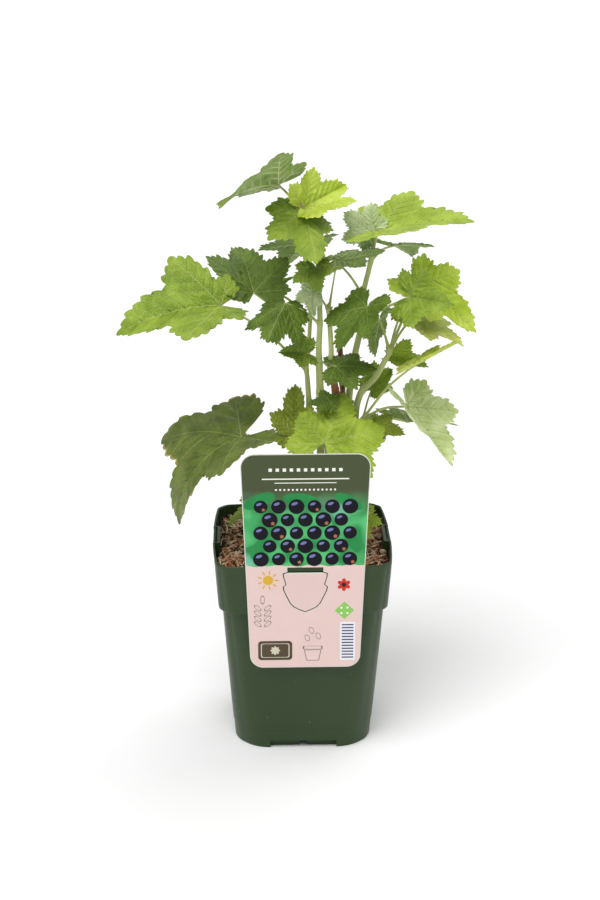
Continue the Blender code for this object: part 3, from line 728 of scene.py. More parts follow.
leaf_signs += [(-33, 169.5, 20, 9, 58), (34, 174, 20, 8, 120), (27, 160.8, 13, 5, 12)]
header = [oval(x, 229.5, 3.4, 3.4, 45, 4) for x in np.linspace(-25, 25, 11)]
header += [rounded(0, 222.6, 62, 0.9, 0.2), rounded(0, 219.6, 44, 0.6, 0.2)]
header += [oval(x, 214.4, 1.5, 1.5) for x in np.linspace(-21, 21, 15)]

# Small signs on the pink panel: a sun, a flower, a sprig, drops over a pot, a tile and a lozenge.
# Shapes of one colour lie clear of each other, because outlines that cross don't fill closed.
SUN = (-27, 144)
FLOWER = (28, 140)
LOZENGE = (28.5, 119.5)
TILE = (-22, 87.5)
BAND = (31, 94.7)
SPRIG_X = -31
CAN_X = 5.5
drops = [oval(x, y, 3.6, 5.6, 20) for x, y in ((4.5, 103.5), (9.5, 99.0), (1.5, 97.5))]
leaf_pairs = [(side, n) for n in range(4) for side in (-1, 1)]
sprigs = [lens(SPRIG_X + 3.6 * s, 122 - 4.3 * n, 6.6, 2.8, 90 - 50 * s) for s, n in leaf_pairs]
sprigs += [lens(SPRIG_X, 128.5, 7, 3.2, 90)]
can, can_rim = rounded(CAN_X, 83.5, 9.5, 9, 0.8, 12.5), rounded(CAN_X, 89.6, 14.5, 2.6, 0.6)
lines = [shape for drop in drops for shape in ring(drop, 0.84)]
lines += [shape for sprig in sprigs for shape in ring(sprig, 0.8)]
lines += ring(can, 0.91) + ring(can_rim, 0.86)
ray = oval(6.2, 0, 3.4, 1.1)
sun_rays = [turned(ray, degrees, SUN) for degrees in range(0, 360, 40)]
stripes = [rounded(BAND[0], 81.5 + 2.4 * n, 8.6, 1.0, 0.1) for n in range(12)]
four_ways = [(-1, -1), (-1, 1), (1, -1), (1, 1)]
specks = [oval(LOZENGE[0] + 2.2 * x, LOZENGE[1] + 2.2 * y, 1.7, 1.7) for x, y in four_ways]

label_pieces = [
    flat_shape("label_card_body", [card_outline, tongue_outline()], LABEL_THICKNESS, 0, body_ink),
    flat_shape("label_tongue", [tongue], LABEL_THICKNESS, 0, body_ink),
    ink("print_foliage", [picture], 0, printed_foliage()),
]
discs = [oval(x, y, size, size) for x, y, size in dots]
shines = [oval(x, y, 0.42 * size, 0.2 * size, 20) for x, y, size in glints]
stars = [petals(x, y, 0.13 * size, 5, 0.35) for x, y, size in tips]
tile_frame = ring(rounded(*TILE, 21, 11.5, 1.6), 0.93) + [petals(*TILE, 3.6, 8, 0.35)]
layers = [
    ("print_pink", [panel, tongue_outline(0.25)], 1, "pink_ink", "#e2c7c2", 0.03),
    ("print_tongue", [tongue_outline(-1.0)[2:-2]], 1, "rose_ink", "#dfc4bf", 0.03),
    ("print_leaves", [lens(*sign) for sign in leaf_signs], 1, "deep_green_ink", "#2a8a49", 0.3),
    ("print_dots", discs, 2, "plum_ink", "#120e1a", 0.5),
    ("print_glints", shines, 3, "lilac_ink", "#6f77ad", 0.3),
    ("print_tips", stars, 3, "tan_ink", "#a9694a", 0.2),
    ("print_header", header, 1, "pale_ink", "#f0efe8", 0.02),
    ("print_lines", lines, 2, "grey_ink", "#7f706c", 0.05),
    ("print_flower", [petals(*FLOWER, 5.0, 6, 0.4)], 2, "red_ink", "#c9392d", 0.1),
    ("print_flower_eye", [oval(*FLOWER, 3.2, 3.2)], 3, "dark_ink", "#2a2220", 0.1),
    ("print_sun", [oval(*SUN, 7.4, 7.4)] + sun_rays, 2, "yellow_ink", "#d8ae38", 0.1),
    ("print_tile", [rounded(*TILE, 25, 15.5, 2.6)], 2, "brown_ink", "#55493a", 0.05),
    ("print_tile_frame", tile_frame, 3, "cream_ink", "#cfc8b4", 0.03),
    ("print_green_lozenge", [oval(*LOZENGE, 14, 14, 0, 4)], 2, "light_green_ink", "#8cc65f", 0.05),
    ("print_specks", specks, 3, "white_ink", "#eef3e6", 0.02),
    ("print_white_band", [rounded(*BAND, 11, 31, 0.6)], 2, "band_ink", "#e8e8ee", 0.02),
    ("print_stripes", stripes, 3, "slate_ink", "#414a68", 0.1),
]
for name, outlines, level, colour, code, spread in layers:
    label_pieces.append(ink(name, outlines, level, printed(colour, code, spread)))
for piece in label_pieces:
    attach(piece, "root")
    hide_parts("label_card")

# The young bush is six stems out of one crown: two brown woody ones and four green shoots.
# The wood has thin bark that splits lengthways, and the shoots have a faintly ribbed green skin
# with pale pores. Each stem stands in the compost and swells a little where leaves leave it.
STEM_FOOT = COMPOST_TOP + GAP
STEM_SINK = 3.0
STEMS = {
    "main_stem": ([(22, -3, STEM_FOOT), (25.5, -3, 250), (22, -3, 281.5)], (4.2, 2.3)),
    "old_twig": ([(30, 8, STEM_FOOT), (31.5, 8.5, 240), (28.5, 8, 299)], (2.6, 1.8)),
    "shoot_left": ([(7, 3, STEM_FOOT), (6.5, 3, 235), (4.3, 3, 275)], (2.6, 1.9)),
    "shoot_middle": ([(13.5, -4, STEM_FOOT), (14, -4, 240), (12.8, -4, 290)], (3.2, 2.6)),
    "shoot_right": ([(33, 17, STEM_FOOT), (35, 13, 240), (37.7, 12, 278), (42.5, 12, 304)], (3.0, 2.3)),
    "shoot_side": (
        [(37, -4, STEM_FOOT), (39, -4.5, 235), (42.5, -4, 263), (54, -4, 277.5), (62, -4, 292)],
        (2.8, 2.0),
    ),
}
SWELLINGS = {
    "main_stem": (190, 214, 262),
    "old_twig": (185, 212, 241, 270),
    "shoot_left": (172, 200, 228, 255),
    "shoot_middle": (175, 205, 236, 266),
    "shoot_right": (180, 214, 246, 276),
    "shoot_side": (182, 212, 243, 268),
}
STEM_ROWS = 180
STEM_SIDES = 28
NODE_SWELL, NODE_SPREAD = 0.16, 3.2
FOOT_SWELL, FOOT_SPREAD = 0.12, 9
BARK_RELIEF = (5, 0.05)
RIND_RELIEF = (3, 0.018)


def unit(vectors):
    """Vectors along the last axis, scaled to a length of one."""
    return vectors / np.linalg.norm(vectors, axis=-1, keepdims=True)


def smooth_path(points, count):
    """Even steps along a Catmull-Rom curve: between two points it is the cubic whose ends head
    along the line between their neighbours."""
    known = np.array(points, float)
    ends = np.vstack([2 * known[0] - known[1], known, 2 * known[-1] - known[-2]])
    place = np.linspace(0, len(known) - 1, count)
    start = np.minimum(place.astype(int), len(known) - 2)
    t = (place - start)[:, None]
    p0, p1, p2, p3 = (ends[start + k] for k in range(4))
    square = 2 * p0 - 5 * p1 + 4 * p2 - p3
    cube = 3 * p1 - p0 - 3 * p2 + p3
    return p1 + 0.5 * ((p2 - p0) * t + square * t**2 + cube * t**3)


def tube(path, radii):
    """A closed tube: at each point of the path a circle square to it, whose radius may change
    round it. The circles are turned alike by the normal of the plane nearest to the path.
    The two ends are closed by a fan to the path's own end points."""
    ahead = unit(np.gradient(path, axis=0))
    normal = np.linalg.svd(path - path.mean(axis=0))[2][2]
    side = unit(np.cross(ahead, normal))
    across = np.cross(ahead, side)
    rows, count = radii.shape
    angle = round_angles(count)[None, :, None]
    spoke = side[:, None] * np.cos(angle) + across[:, None] * np.sin(angle)
    points = (path[:, None] + spoke * radii[:, :, None]).reshape(-1, 3)
    points = np.vstack([points, path[0], path[-1]])
    index = np.arange(count)
    after = (index + 1) % count
    last = (rows - 1) * count
    low = np.column_stack([after, index, np.full(count, rows * count)])
    high = np.column_stack([last + index, last + after, np.full(count, rows * count + 1)])
    return points, grid_faces(rows, count).tolist() + low.tolist() + high.tolist()


def joined(name, parts, materials, smooth=True):
    """One object from parts of (points, faces, slot or slots of the faces)."""
    points, faces, slots, shift = [], [], [], 0
    for part_points, part_faces, part_slots in parts:
        points.append(part_points)
        faces.extend([[corner + shift for corner in face] for face in part_faces])
        slots.append(np.broadcast_to(part_slots, len(part_faces)))
        shift += len(part_points)
    return new_mesh(name, np.vstack(points), faces, materials, np.concatenate(slots), smooth)


def stem_curve(name, count=None):
    """The points of a named stem's axis, with its radius at each."""
    points, radii = STEMS[name]
    path = smooth_path(points, count or 3 * len(points) - 2)
    return path, np.linspace(*radii, len(path))


def swelling(height, places, spread):
    """A bump of one at each place, which falls off with the square of the distance from it."""
    return sum(np.exp(-(((height - place) / spread) ** 2)) for place in places)


def shaped_stem(name, ridges, roughness):
    """A stem's tube, from a little way down in the compost to its tip: its radius follows the
    taper, plus swellings at the nodes, plus ridges that run up it and slowly wander round."""
    path, radii = stem_curve(name, STEM_ROWS)
    path = np.vstack([path[0] - (0, 0, STEM_SINK), path])
    radii = np.append(radii[0], radii)
    height = path[:, 2][:, None]
    angle = round_angles(STEM_SIDES)[None]
    ribs = np.sin(ridges * angle + 0.05 * height + 0.7 * np.sin(height / 13))
    ribs = ribs + 0.6 * np.sin((ridges + 4) * angle - 0.11 * height + 2)
    nodes = NODE_SWELL * swelling(height, SWELLINGS[name], NODE_SPREAD)
    foot = FOOT_SWELL * swelling(height, [STEM_FOOT], FOOT_SPREAD)
    relief = roughness * ribs + 0.5 * roughness * np.sin(height * 1.9 + 3 * angle)
    return tube(path, radii[:, None] * (1 + nodes + foot + relief))


def split_bark(name, low, high, grey):
    """Thin woody bark: brown under a grey skin that peels in lengthways strips about a
    millimetre wide, dull all over."""
    made, tree, place = new_material(name)
    drawn = add(tree, "Mapping", {"Vector": place, "Scale": (1, 1, 0.12)})
    strip = add(tree, "TexNoise", {"Vector": drawn, "Scale": PER_MM / 2.4, "Detail": 4.0})
    wood = add(tree, "Mix", {BY: strip, FROM: linear(low), TO: linear(high)}, data_type="RGBA")
    peel = add(tree, "TexNoise", {"Vector": drawn, "Scale": PER_MM / 5, "Detail": 2.0})
    edge = add(tree, "MapRange", {"Value": peel, "From Min": 0.55, "From Max": 0.62})
    tone = add(tree, "Mix", {BY: edge, FROM: wood, TO: linear(grey)}, data_type="RGBA")
    bump = add(tree, "Bump", {"Height": strip, "Strength": 0.6, "Distance": 0.3 * MM})
    shader = add(tree, "BsdfPrincipled", {"Base Color": tone, "Roughness": 0.8, "Normal": bump})
    add(tree, "OutputMaterial", {"Surface": shader})
    return made


def green_rind(name, low, high):
    """The rind of a shoot of the year: pale green, streaked lengthways, with pale pores half a
    millimetre across, drawn at one, and a slight waxy sheen."""
    made, tree, place = new_material(name)
    drawn = add(tree, "Mapping", {"Vector": place, "Scale": (1, 1, 0.08)})
    streak = add(tree, "TexNoise", {"Vector": drawn, "Scale": PER_MM / 2.5, "Detail": 2.0})
    skin = add(tree, "Mix", {BY: streak, FROM: linear(low), TO: linear(high)}, data_type="RGBA")
    pore = add(tree, "TexVoronoi", {"Vector": place, "Scale": PER_MM / 3.2})
    spot = {"Value": pore, "From Min": 0.16, "From Max": 0.22}
    mark = add(tree, "MapRange", {**spot, "To Min": 0.4, "To Max": 0.0})
    tone = add(tree, "Mix", {BY: mark, FROM: skin, TO: linear("#cdd3a6")}, data_type="RGBA")
    shader = add(tree, "BsdfPrincipled", {"Base Color": tone, "Roughness": 0.5, "IOR": 1.45})
    add(tree, "OutputMaterial", {"Surface": shader})
    return made


bark_finish = split_bark("split_brown_bark", "#7c482a", "#b0744a", "#98795c")
twig_finish = split_bark("red_twig_bark", "#58281c", "#7f4230", "#8d7565")
rind_finish = green_rind("green_shoot_rind", "#9fad5c", "#c6cf8c")
for name in STEMS:
    woody = name in ("main_stem", "old_twig")
    finish = {"main_stem": bark_finish, "old_twig": twig_finish}.get(name, rind_finish)
    points, faces = shaped_stem(name, *(BARK_RELIEF if woody else RIND_RELIEF))
    stem = new_mesh(name + "_bark" if woody else name + "_rind", points, faces, [finish])
    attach(stem, "root")
    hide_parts(name)

# Each mass of leaves goes on from the tip of a stem, or leaves its side: a soft green shoot with a
# bud at every leaf, and a long stalk to each blade. The stalk is grooved, thicker where it clasps
# the shoot, and runs on under the blade as its midrib.
MASS_LEAD = 0.35
STALK_RADIUS = 0.85
STALK_TAPER = (1.25, 0.9)
STALK_BOW = (0.04, 0.12)
STALK_SINK = 2.5
STALK_UNDER = (0.35, 0.45)
STALK_ROWS = 26
STALK_SIDES = 10
CLASP_SWELL, CLASP_LENGTH = 0.9, 2.5
GROOVE_DEPTH, GROOVE_SPREAD = 0.16, 0.5
TIP_SINK = 2.0
SHOOT_SIDES = 20
SHOOT_SWELL, SHOOT_SPREAD = 0.22, 1.8
BUD_FATNESS = 0.3
BUD_ROWS, BUD_SIDES = 9, 8
SIDE_BUD, TIP_BUD = 3.2, 4.4
LEAF_FIELDS = "tint node heading reach rise length aim pitch roll fold bend lobes skew basal"
Leaf = namedtuple("Leaf", LEAF_FIELDS, defaults=(0, 15, 25, 0.84, 0.0, 0.7))
Source = namedtuple("Source", "stem height heading", defaults=(None, None))

# A leaf's numbers after its tint are those of the solid: where its stalk leaves the shoot, how far
# and which way the stalk runs, and how the blade is pointed, turned, folded, bent and lobed. A leaf
# that says nothing of its turn, fold, bend or lobes has the usual ones.
MASSES = {
    "leaves_left": (
        Source("shoot_left"),
        [(5.4, 3, 300), (6.7, 3, 350), (1, 3, 402)],
        (1.8, 1.2),
        [
            Leaf("fresh", 281, 192, 63, 53, 79, 196, 4, -33, 27, 45, 0.72, -0.05, 0.45),
            Leaf("deep", 303, 163, 42, 34, 52, 102, 31, 3, 26, 9, 0.82, -0.05),
            Leaf("mid", 399, 170, 18, 19, 69, 223, 9, 37, 13, 34, 0.58, -0.27, 0.5),
            Leaf("lime", 401, 90, 2, 1, 43, 41, 14, 42, 45, 1, 0.82, 0.13),
            Leaf("fresh", 400, 267, 2, 0, 49, 283, -28, -6, -8, 18, 0.63, 0.20),
            Leaf("mid", 345, 95, 36, 22, 44, 110, -20),
            Leaf("fresh", 320, 130, 52, 12, 46, 140, -10),
        ],
    ),
    "leaves_middle": (
        Source("shoot_middle"),
        [(13.2, -4, 320), (12.4, -4, 345), (11.7, -4, 366)],
        (2.4, 1.6),
        [
            Leaf("deep", 318, 213, 30, 20, 38, 249, -20, -16, -35, 30),
            Leaf("mid", 365, 258, 9, -3, 23, 271, -24, 13, 14, 24, 0.85, 0.13),
        ],
    ),
    "leaves_centre": (
        Source("main_stem"),
        [(21.5, -3, 299), (19.5, -3, 330)],
        (2.2, 1.7),
        [
            Leaf("mid", 284, 219, 24, 16, 22, 214, 15, -62, 32, 30),
            Leaf("deep", 286, 284, 12, 3, 30, 354, 4, 22, -7, 18, 0.86),
            Leaf("bright", 328, 318, 6, 31, 10, 150, 0, 10, 10, 10),
            Leaf("pale", 328, 220, 14, 17, 20, 235, -60, 0, 30, 60),
        ],
    ),
    "leaves_right": (
        Source("shoot_right"),
        [(45.2, 12, 335), (50.3, 12, 359), (53.8, 12, 382)],
        (2.2, 1.7),
        [
            Leaf("fresh", 314, 318, 44, 27, 38, 301, 7, 71, 26, 40, 0.80),
            Leaf("deep", 322, 272, 36, 14, 39, 214, -37, 3, 13, 22, 0.92),
            Leaf("deep", 335, 202, 22, 28, 36, 351, 16, -29, 0, 5, 0.77),
            Leaf("bright", 381, 298, 2, 2, 70, 352, 18, 12, 20, 26, 0.71, 0.04),
            Leaf("pale", 380, 180, 3, 2, 26, 150, 30, -60, 10, 15),
            Leaf("mid", 360, 60, 34, 5, 40, 60, -10),
        ],
    ),
    "leaves_side": (
        Source("shoot_side"),
        [(64.6, -4, 299.5)],
        (1.9, 1.6),
        [
            Leaf("fresh", 297, 140, 9, 22, 28, 150, -70, 10, 18, 30, 0.80, 0.10),
            Leaf("lime", 299, 44, 32, 41, 54, 327, -21, 42, 44, 49, 0.76, 0.13),
            Leaf("yellow", 297, 25, 19, 23, 42, 340, -19, -1, 7, 11, 0.87),
            Leaf("bright", 296, 82, 22, -10, 29, 341, 0, 34, 36, 33, 0.77, 0.06, 0.45),
            Leaf("mid", 298, 75, 48, 15, 44, 70, -15),
        ],
    ),
    "leaves_low_right": (
        Source("shoot_side", 243, 290),
        [(43, -10, 246), (46, -11, 249)],
        (1.4, 1.2),
        [
            Leaf("yellow", 248, 330, 39, 45, 38, 0, 29, -11, 11, 2, 0.90),
            Leaf("silver", 248, 4, 32, 8, 55, 321, -38, -2, 34, 9, 0.77, 0.05),
            Leaf("olive", 246, 10, 9, -4, 25, 338, -4, 27, 7, 16, 0.75, 0.05),
            Leaf("fresh", 248, 72, 24, 15, 24, 39, 29, 51, 37, 2, 0.81, -0.15),
            Leaf("mid", 247, 45, 52, -14, 46, 45, -10),
        ],
    ),
    "leaves_low_left": (
        Source("shoot_left", 228, 232),
        [(1.5, -6.5, 231), (-2, -16, 234)],
        (1.4, 1.2),
        [
            Leaf("olive", 233, 208, 5, 3, 42, 88, 46, -14, 36, 2, 0.61),
            Leaf("aged", 234, 192, 44, 5, 85, 200, -9, -3, 13, 86, 0.79, 0.18),
            Leaf("mid", 232, 150, 66, -20, 46, 160, -15),
        ],
    ),
    "leaves_low_front": (
        Source("main_stem", 214, 262),
        [(21, -14, 219), (17, -25, 225)],
        (1.4, 1.2),
        [
            Leaf("bright", 224, 263, 20, 16, 44, 62, 44, 16, -8, 14, 0.90, 0.17, 0.88),
            Leaf("deep", 223, 300, 5, 41, 17, 174, 5, -25, 18, 15, 0.88),
        ],
    ),
    "leaves_low_side": (
        Source("shoot_side", 182, 285),
        [(40, -12, 186)],
        (1.4, 1.2),
        [
            Leaf("bright", 185, 275, 15, -6, 23, 285, -35),
            Leaf("bright", 185, 235, 12, 6, 22, 225, -10),
        ],
    ),
    "leaves_low_back": (
        Source("main_stem", 190, 105),
        [(19, 11, 195), (16, 20, 200)],
        (1.4, 1.2),
        [
            Leaf("mid", 199, 95, 32, -10, 48, 95, -10),
            Leaf("fresh", 198, 190, 40, -20, 40, 185, -20),
        ],
    ),
}


def compass(degrees):
    """A level unit vector from its heading: 0 is +X and 90 is +Y."""
    return np.array([math.cos(math.radians(degrees)), math.sin(math.radians(degrees)), 0.0])


def at_height(path, height):
    """The point at a height on a path that rises all the way."""
    return np.array([np.interp(height, path[:, 2], path[:, axis]) for axis in range(3)])


def node_height(leaf, path):
    """The height at which a leaf leaves its shoot, kept a little in from the shoot's two ends."""
    return np.clip(leaf.node, path[0][2] + 1.0, path[-1][2] - 0.5)


def mass_start(source, next_point):
    """The first points of a mass's shoot: inside its stem, clear of it, and a lead towards the
    next point. They go on from a tip, or straight out of a side."""
    path, radii = stem_curve(source.stem)
    if source.height is None:
        along = unit(path[-1] - path[-2])
        place = path[-1]
        clear = GAP
    else:
        along = compass(source.heading)
        place = at_height(path, source.height)
        clear = GAP + np.interp(source.height, path[:, 2], radii)
    lead = MASS_LEAD * np.linalg.norm(np.array(next_point) - place)
    return place, along, [place + along * clear, place + along * (clear + lead)]


def mass_path(source, stem):
    """The shoot's axis as in the solid, and the point inside the stem that it grows out of."""
    place, along, first = mass_start(source, stem[0])
    points = first + list(stem)
    root = place - along * (TIP_SINK if source.height is None else 0.0)
    return smooth_path(points, 2 * len(points) - 1), points, root


def blade_axes(leaf):
    """Unit vectors of a blade: along its midrib, to its right, and out of its upper face."""
    aim, pitch, roll = (math.radians(angle) for angle in (leaf.aim, leaf.pitch, leaf.roll))
    along = np.array(
        [math.cos(pitch) * math.cos(aim), math.cos(pitch) * math.sin(aim), math.sin(pitch)]
    )
    level = np.array([math.sin(aim), -math.cos(aim), 0.0])
    up = np.cross(level, along)
    right = level * math.cos(roll) - up * math.sin(roll)
    return along, right, up * math.cos(roll) + level * math.sin(roll)


def stalk_start(leaf, path):
    """Where a leaf's stalk leaves the shoot, and where it ends at the blade."""
    start = at_height(path, node_height(leaf, path))
    return start, start + compass(leaf.heading) * leaf.reach + (0, 0, leaf.rise)


def stalk_part(leaf, start, base, bow):
    """A stalk: the curve through its middle, lifted by its bow, and on under the midrib. It is
    widest where it clasps the shoot, and a groove runs along its upper side."""
    along, _, up = blade_axes(leaf)
    middle = (start + base) / 2 + np.array([0, 0, bow * leaf.reach])
    path = smooth_path([start, middle, base], STALK_ROWS)
    end = base + along * STALK_SINK - up * STALK_UNDER[1]
    path = np.vstack([path[:-1], base - up * STALK_UNDER[0], end])
    way = np.linspace(0, 1, len(path))
    size = STALK_RADIUS * min(1.0, 0.55 + leaf.length / 90)
    radii = size * (STALK_TAPER[0] + (STALK_TAPER[1] - STALK_TAPER[0]) * way)
    clasp = np.exp(-((way * max(leaf.reach, 8)) / CLASP_LENGTH) ** 2)
    radii = radii + size * CLASP_SWELL * clasp
    radii[-1] = radii[-1] * 0.6
    angle = round_angles(STALK_SIDES)[None]
    groove = 1 - GROOVE_DEPTH * np.exp(-(((angle - np.pi / 2) / GROOVE_SPREAD) ** 2))
    return tube(path, radii[:, None] * groove)


def bud_part(place, ahead, size):
    """A pointed bud: a tube along its own axis whose radius is the sine of the way along it,
    pressed towards the tip."""
    way = np.linspace(0.02, 0.98, BUD_ROWS)
    path = place + ahead * (way * size)[:, None]
    radii = size * BUD_FATNESS * np.sin(np.pi * way**0.75) ** 0.8
    return tube(path, np.repeat(radii[:, None], BUD_SIDES, axis=1))


def shoot_part(path_points, root, radii, heights):
    """A mass's own shoot: from inside its stem to its tip, with a swelling at every leaf."""
    path = smooth_path(path_points, 18 * len(path_points))
    path = np.vstack([root, path])
    taper = np.append(radii[0], np.linspace(*radii, len(path) - 1))
    rise = path[:, 2][:, None]
    angle = round_angles(SHOOT_SIDES)[None]
    ribs = 0.02 * np.sin(3 * angle + 0.08 * rise) + 0.012 * np.sin(7 * angle - 0.1 * rise)
    nodes = SHOOT_SWELL * np.minimum(swelling(rise, heights, SHOOT_SPREAD), 1.2)
    return tube(path, taper[:, None] * (1 + ribs + nodes))


def stalk_skin(name, low, high):
    """The skin of a leaf stalk: pale green, in places flushed with brown, soft with short hairs
    that take the gloss off."""
    made, tree, place = new_material(name)
    flush = add(tree, "TexNoise", {"Vector": place, "Scale": PER_MM / 16, "Detail": 2.0})
    tone = add(tree, "Mix", {BY: flush, FROM: linear(low), TO: linear(high)}, data_type="RGBA")
    inputs = {"Base Color": tone, "Roughness": 0.6, "Sheen Weight": 0.15}
    shader = add(tree, "BsdfPrincipled", inputs)
    add(tree, "OutputMaterial", {"Surface": shader})
    return made


stalk_finishes = [
    stalk_skin("green_stalk_skin", "#94a24c", "#bdc57c"),
    stalk_skin("dark_stalk_skin", "#4f5330", "#6e7040"),
    stalk_skin("bud_scales", "#8f9a55", "#b3a46c"),
    rind_finish,
]
GREEN_STALK, DARK_STALK, BUD_SCALES, SHOOT_RIND = range(len(stalk_finishes))
grown = {}
for seed, (name, (source, stem, radii, leaves)) in enumerate(MASSES.items()):
    chance = np.random.default_rng(seed)
    path, points, root = mass_path(source, stem)
    nodes = [node_height(leaf, path) for leaf in leaves]
    parts = [(*shoot_part(points, root, radii, nodes), SHOOT_RIND)]
    bases = []
    for leaf in leaves:
        start, base = stalk_start(leaf, path)
        bow = chance.uniform(*STALK_BOW)
        slot = DARK_STALK if leaf.tint == "aged" else GREEN_STALK
        parts.append((*stalk_part(leaf, start, base, bow), slot))
        out = compass(leaf.heading)
        place = start + out * radii[0] * 0.8 + (0, 0, 0.8)
        parts.append((*bud_part(place, out * 0.5 + (0, 0, 0.86), SIDE_BUD), BUD_SCALES))
        bases.append(base)
    ahead = unit(path[-1] - path[-2])
    parts.append((*bud_part(path[-1] - ahead * 0.6, ahead, TIP_BUD), BUD_SCALES))
    stalks = joined(name.replace("leaves", "stalks"), parts, stalk_finishes)
    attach(stalks, "root")
    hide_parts(name)
    grown[name] = (leaves, bases)

# The blades are blackcurrant leaves, three to five lobes round a heart shaped foot, toothed twice
# over. Veins fan out from the stalk: sunk in the upper face, which bulges softly between them,
# and standing out as pale ribs from the duller, hairy underside.
LOBE_ANGLES = (0, 27, 52, 80, 106, 150)
BLADE_CURL = 0.15
SKEW_ANGLE = 50
BLADE_SHEET = 0.34
BLADE_ROWS = (19, 27)
SMALL_BLADE = 32
TOOTH_PITCH = 0.088
TOOTH_STEPS = 4
TOOTH_DEPTH = 2.6
TOOTH_POWER = 0.5
TOOTH_SHAPE = (0.6, 1.1)
TOOTH_MIDDLE = 0.6
LOBE_ROUNDING = 1.5
NOTCH_DEEPER = (1, 0.86, 1, 0.82, 1, 1)
SMALL_TOOTH = 0.55
FOLD_SOFTNESS = 0.02
RIPPLE = 0.014
BULGE = 1.6
USUAL_LENGTH = 44
BULGE_POWER = 0.35
VEIN_VALLEY = 0.045
VEIN_RADIUS = 0.72
VEIN_SHOWN = 0.36
MAIN_VEINS = (0, -52, 52, -106, 106)
MAIN_VEIN_SIZES = {0: 0.72, 52: 0.64, 106: 0.56}
SIDE_VEINS = {0: 6, 52: 5, 106: 3}
SIDE_VEIN_TURN = (50, 30)
SIDE_VEIN_SIZES = (0.66, 0.4)
SIDE_VEIN_STEP = 0.055
SIDE_VEIN_STAGGER = 0.03
VEIN_POINTS = (18, 12)
VEIN_ENDS = (0.22, 0.2)
VEIN_LIMITS = {0: (-27, 27), 52: (27, 80), 106: (80, 150)}
RIB_FACING = 0.25
HUB_SHARE = 0.02
ROW_POWER = 0.95
TOOTHED_FROM = 0.8
MARGIN_FADE = 0.6


def lobe_reaches(lobes, basal):
    """Reach of a blade at each of LOBE_ANGLES, from the middle lobe round to the stalk's notch."""
    return (1.0, 0.4 + 0.4 * lobes, lobes, (basal + 0.04) * lobes, basal * lobes, 0.43 * basal)


def skewed(leaf, angle):
    """How much a half is widened or narrowed at an angle: in full from SKEW_ANGLE round."""
    return 1 + leaf.skew * np.sign(angle) * np.clip(np.abs(angle) / SKEW_ANGLE, 0, 1)


def blade_reach(leaf, angle):
    """Reach of the margin at an angle: from each notch to the lobe beside it, by a power of the
    way between them that rounds the lobe and leaves the notch sharp."""
    known = np.array(lobe_reaches(leaf.lobes, leaf.basal)) * NOTCH_DEEPER
    size = np.abs(angle)
    band = np.clip(np.searchsorted(LOBE_ANGLES, size, side="right") - 1, 0, len(LOBE_ANGLES) - 2)
    first, last = np.take(LOBE_ANGLES, band), np.take(LOBE_ANGLES, band + 1)
    start, end = np.take(known, band), np.take(known, band + 1)
    way = (size - first) / (last - first)
    from_lobe = band % 2 == 0
    way = np.where(from_lobe, way, 1 - way)
    lobe, notch = np.where(from_lobe, start, end), np.where(from_lobe, end, start)
    return (notch + (lobe - notch) * (1 - way**LOBE_ROUNDING)) * skewed(leaf, angle)


def tooth_line(leaf):
    """Angles round one half of the margin and the depth of the teeth there.

    The sides of the lobes are cut into teeth of even length, each of TOOTH_STEPS points. Going
    away from a lobe's tip a tooth falls slowly to its notch, and rises again in one step, so it
    points forward. Every second tooth is smaller, and the teeth of long leaves are blunter.
    """
    known = lobe_reaches(leaf.lobes, leaf.basal)
    angles, depths = [], []
    for band in range(len(LOBE_ANGLES) - 1):
        first, last = LOBE_ANGLES[band], LOBE_ANGLES[band + 1]
        turn = math.radians(last - first)
        a, b = known[band], known[band + 1]
        side = math.sqrt(a * a + b * b - 2 * a * b * math.cos(turn))
        teeth = max(2, round(side / TOOTH_PITCH))
        phase = np.arange(teeth * TOOTH_STEPS) / TOOTH_STEPS
        away = phase if band % 2 == 0 else teeth - phase
        fall = np.mod(away, 1) / (1 - 1 / TOOTH_STEPS)
        power = TOOTH_SHAPE[0] + TOOTH_SHAPE[1] * leaf.length / USUAL_LENGTH
        tooth = np.where(fall <= 1, 1 - fall**power, 0.0)
        smaller = np.where(np.mod(np.floor(away), 2) == 1, SMALL_TOOTH, 1.0)
        angles.append(first + (last - first) * phase / teeth)
        depths.append(tooth * smaller)
    return np.append(np.concatenate(angles), LOBE_ANGLES[-1]), np.append(np.concatenate(depths), 0.5)


def blade_margin(leaf):
    """The margin without teeth, in the blade's own plane, and the step out to each tooth."""
    half_angles, half_depths = tooth_line(leaf)
    angle = np.concatenate([-half_angles[::-1], half_angles[1:]])
    depth = np.concatenate([half_depths[::-1], half_depths[1:]])
    reach = blade_reach(leaf, angle)
    turn = np.radians(angle)
    radial = np.column_stack([np.cos(turn), np.sin(turn)])
    margin = reach[:, None] * radial
    run = unit(np.gradient(margin, axis=0))
    outward = np.column_stack([run[:, 1], -run[:, 0]])
    mixed = unit(outward + 0.5 * radial)
    size = TOOTH_DEPTH * (leaf.length / USUAL_LENGTH) ** TOOTH_POWER / leaf.length
    return margin, mixed * (depth[:, None] - TOOTH_MIDDLE) * size


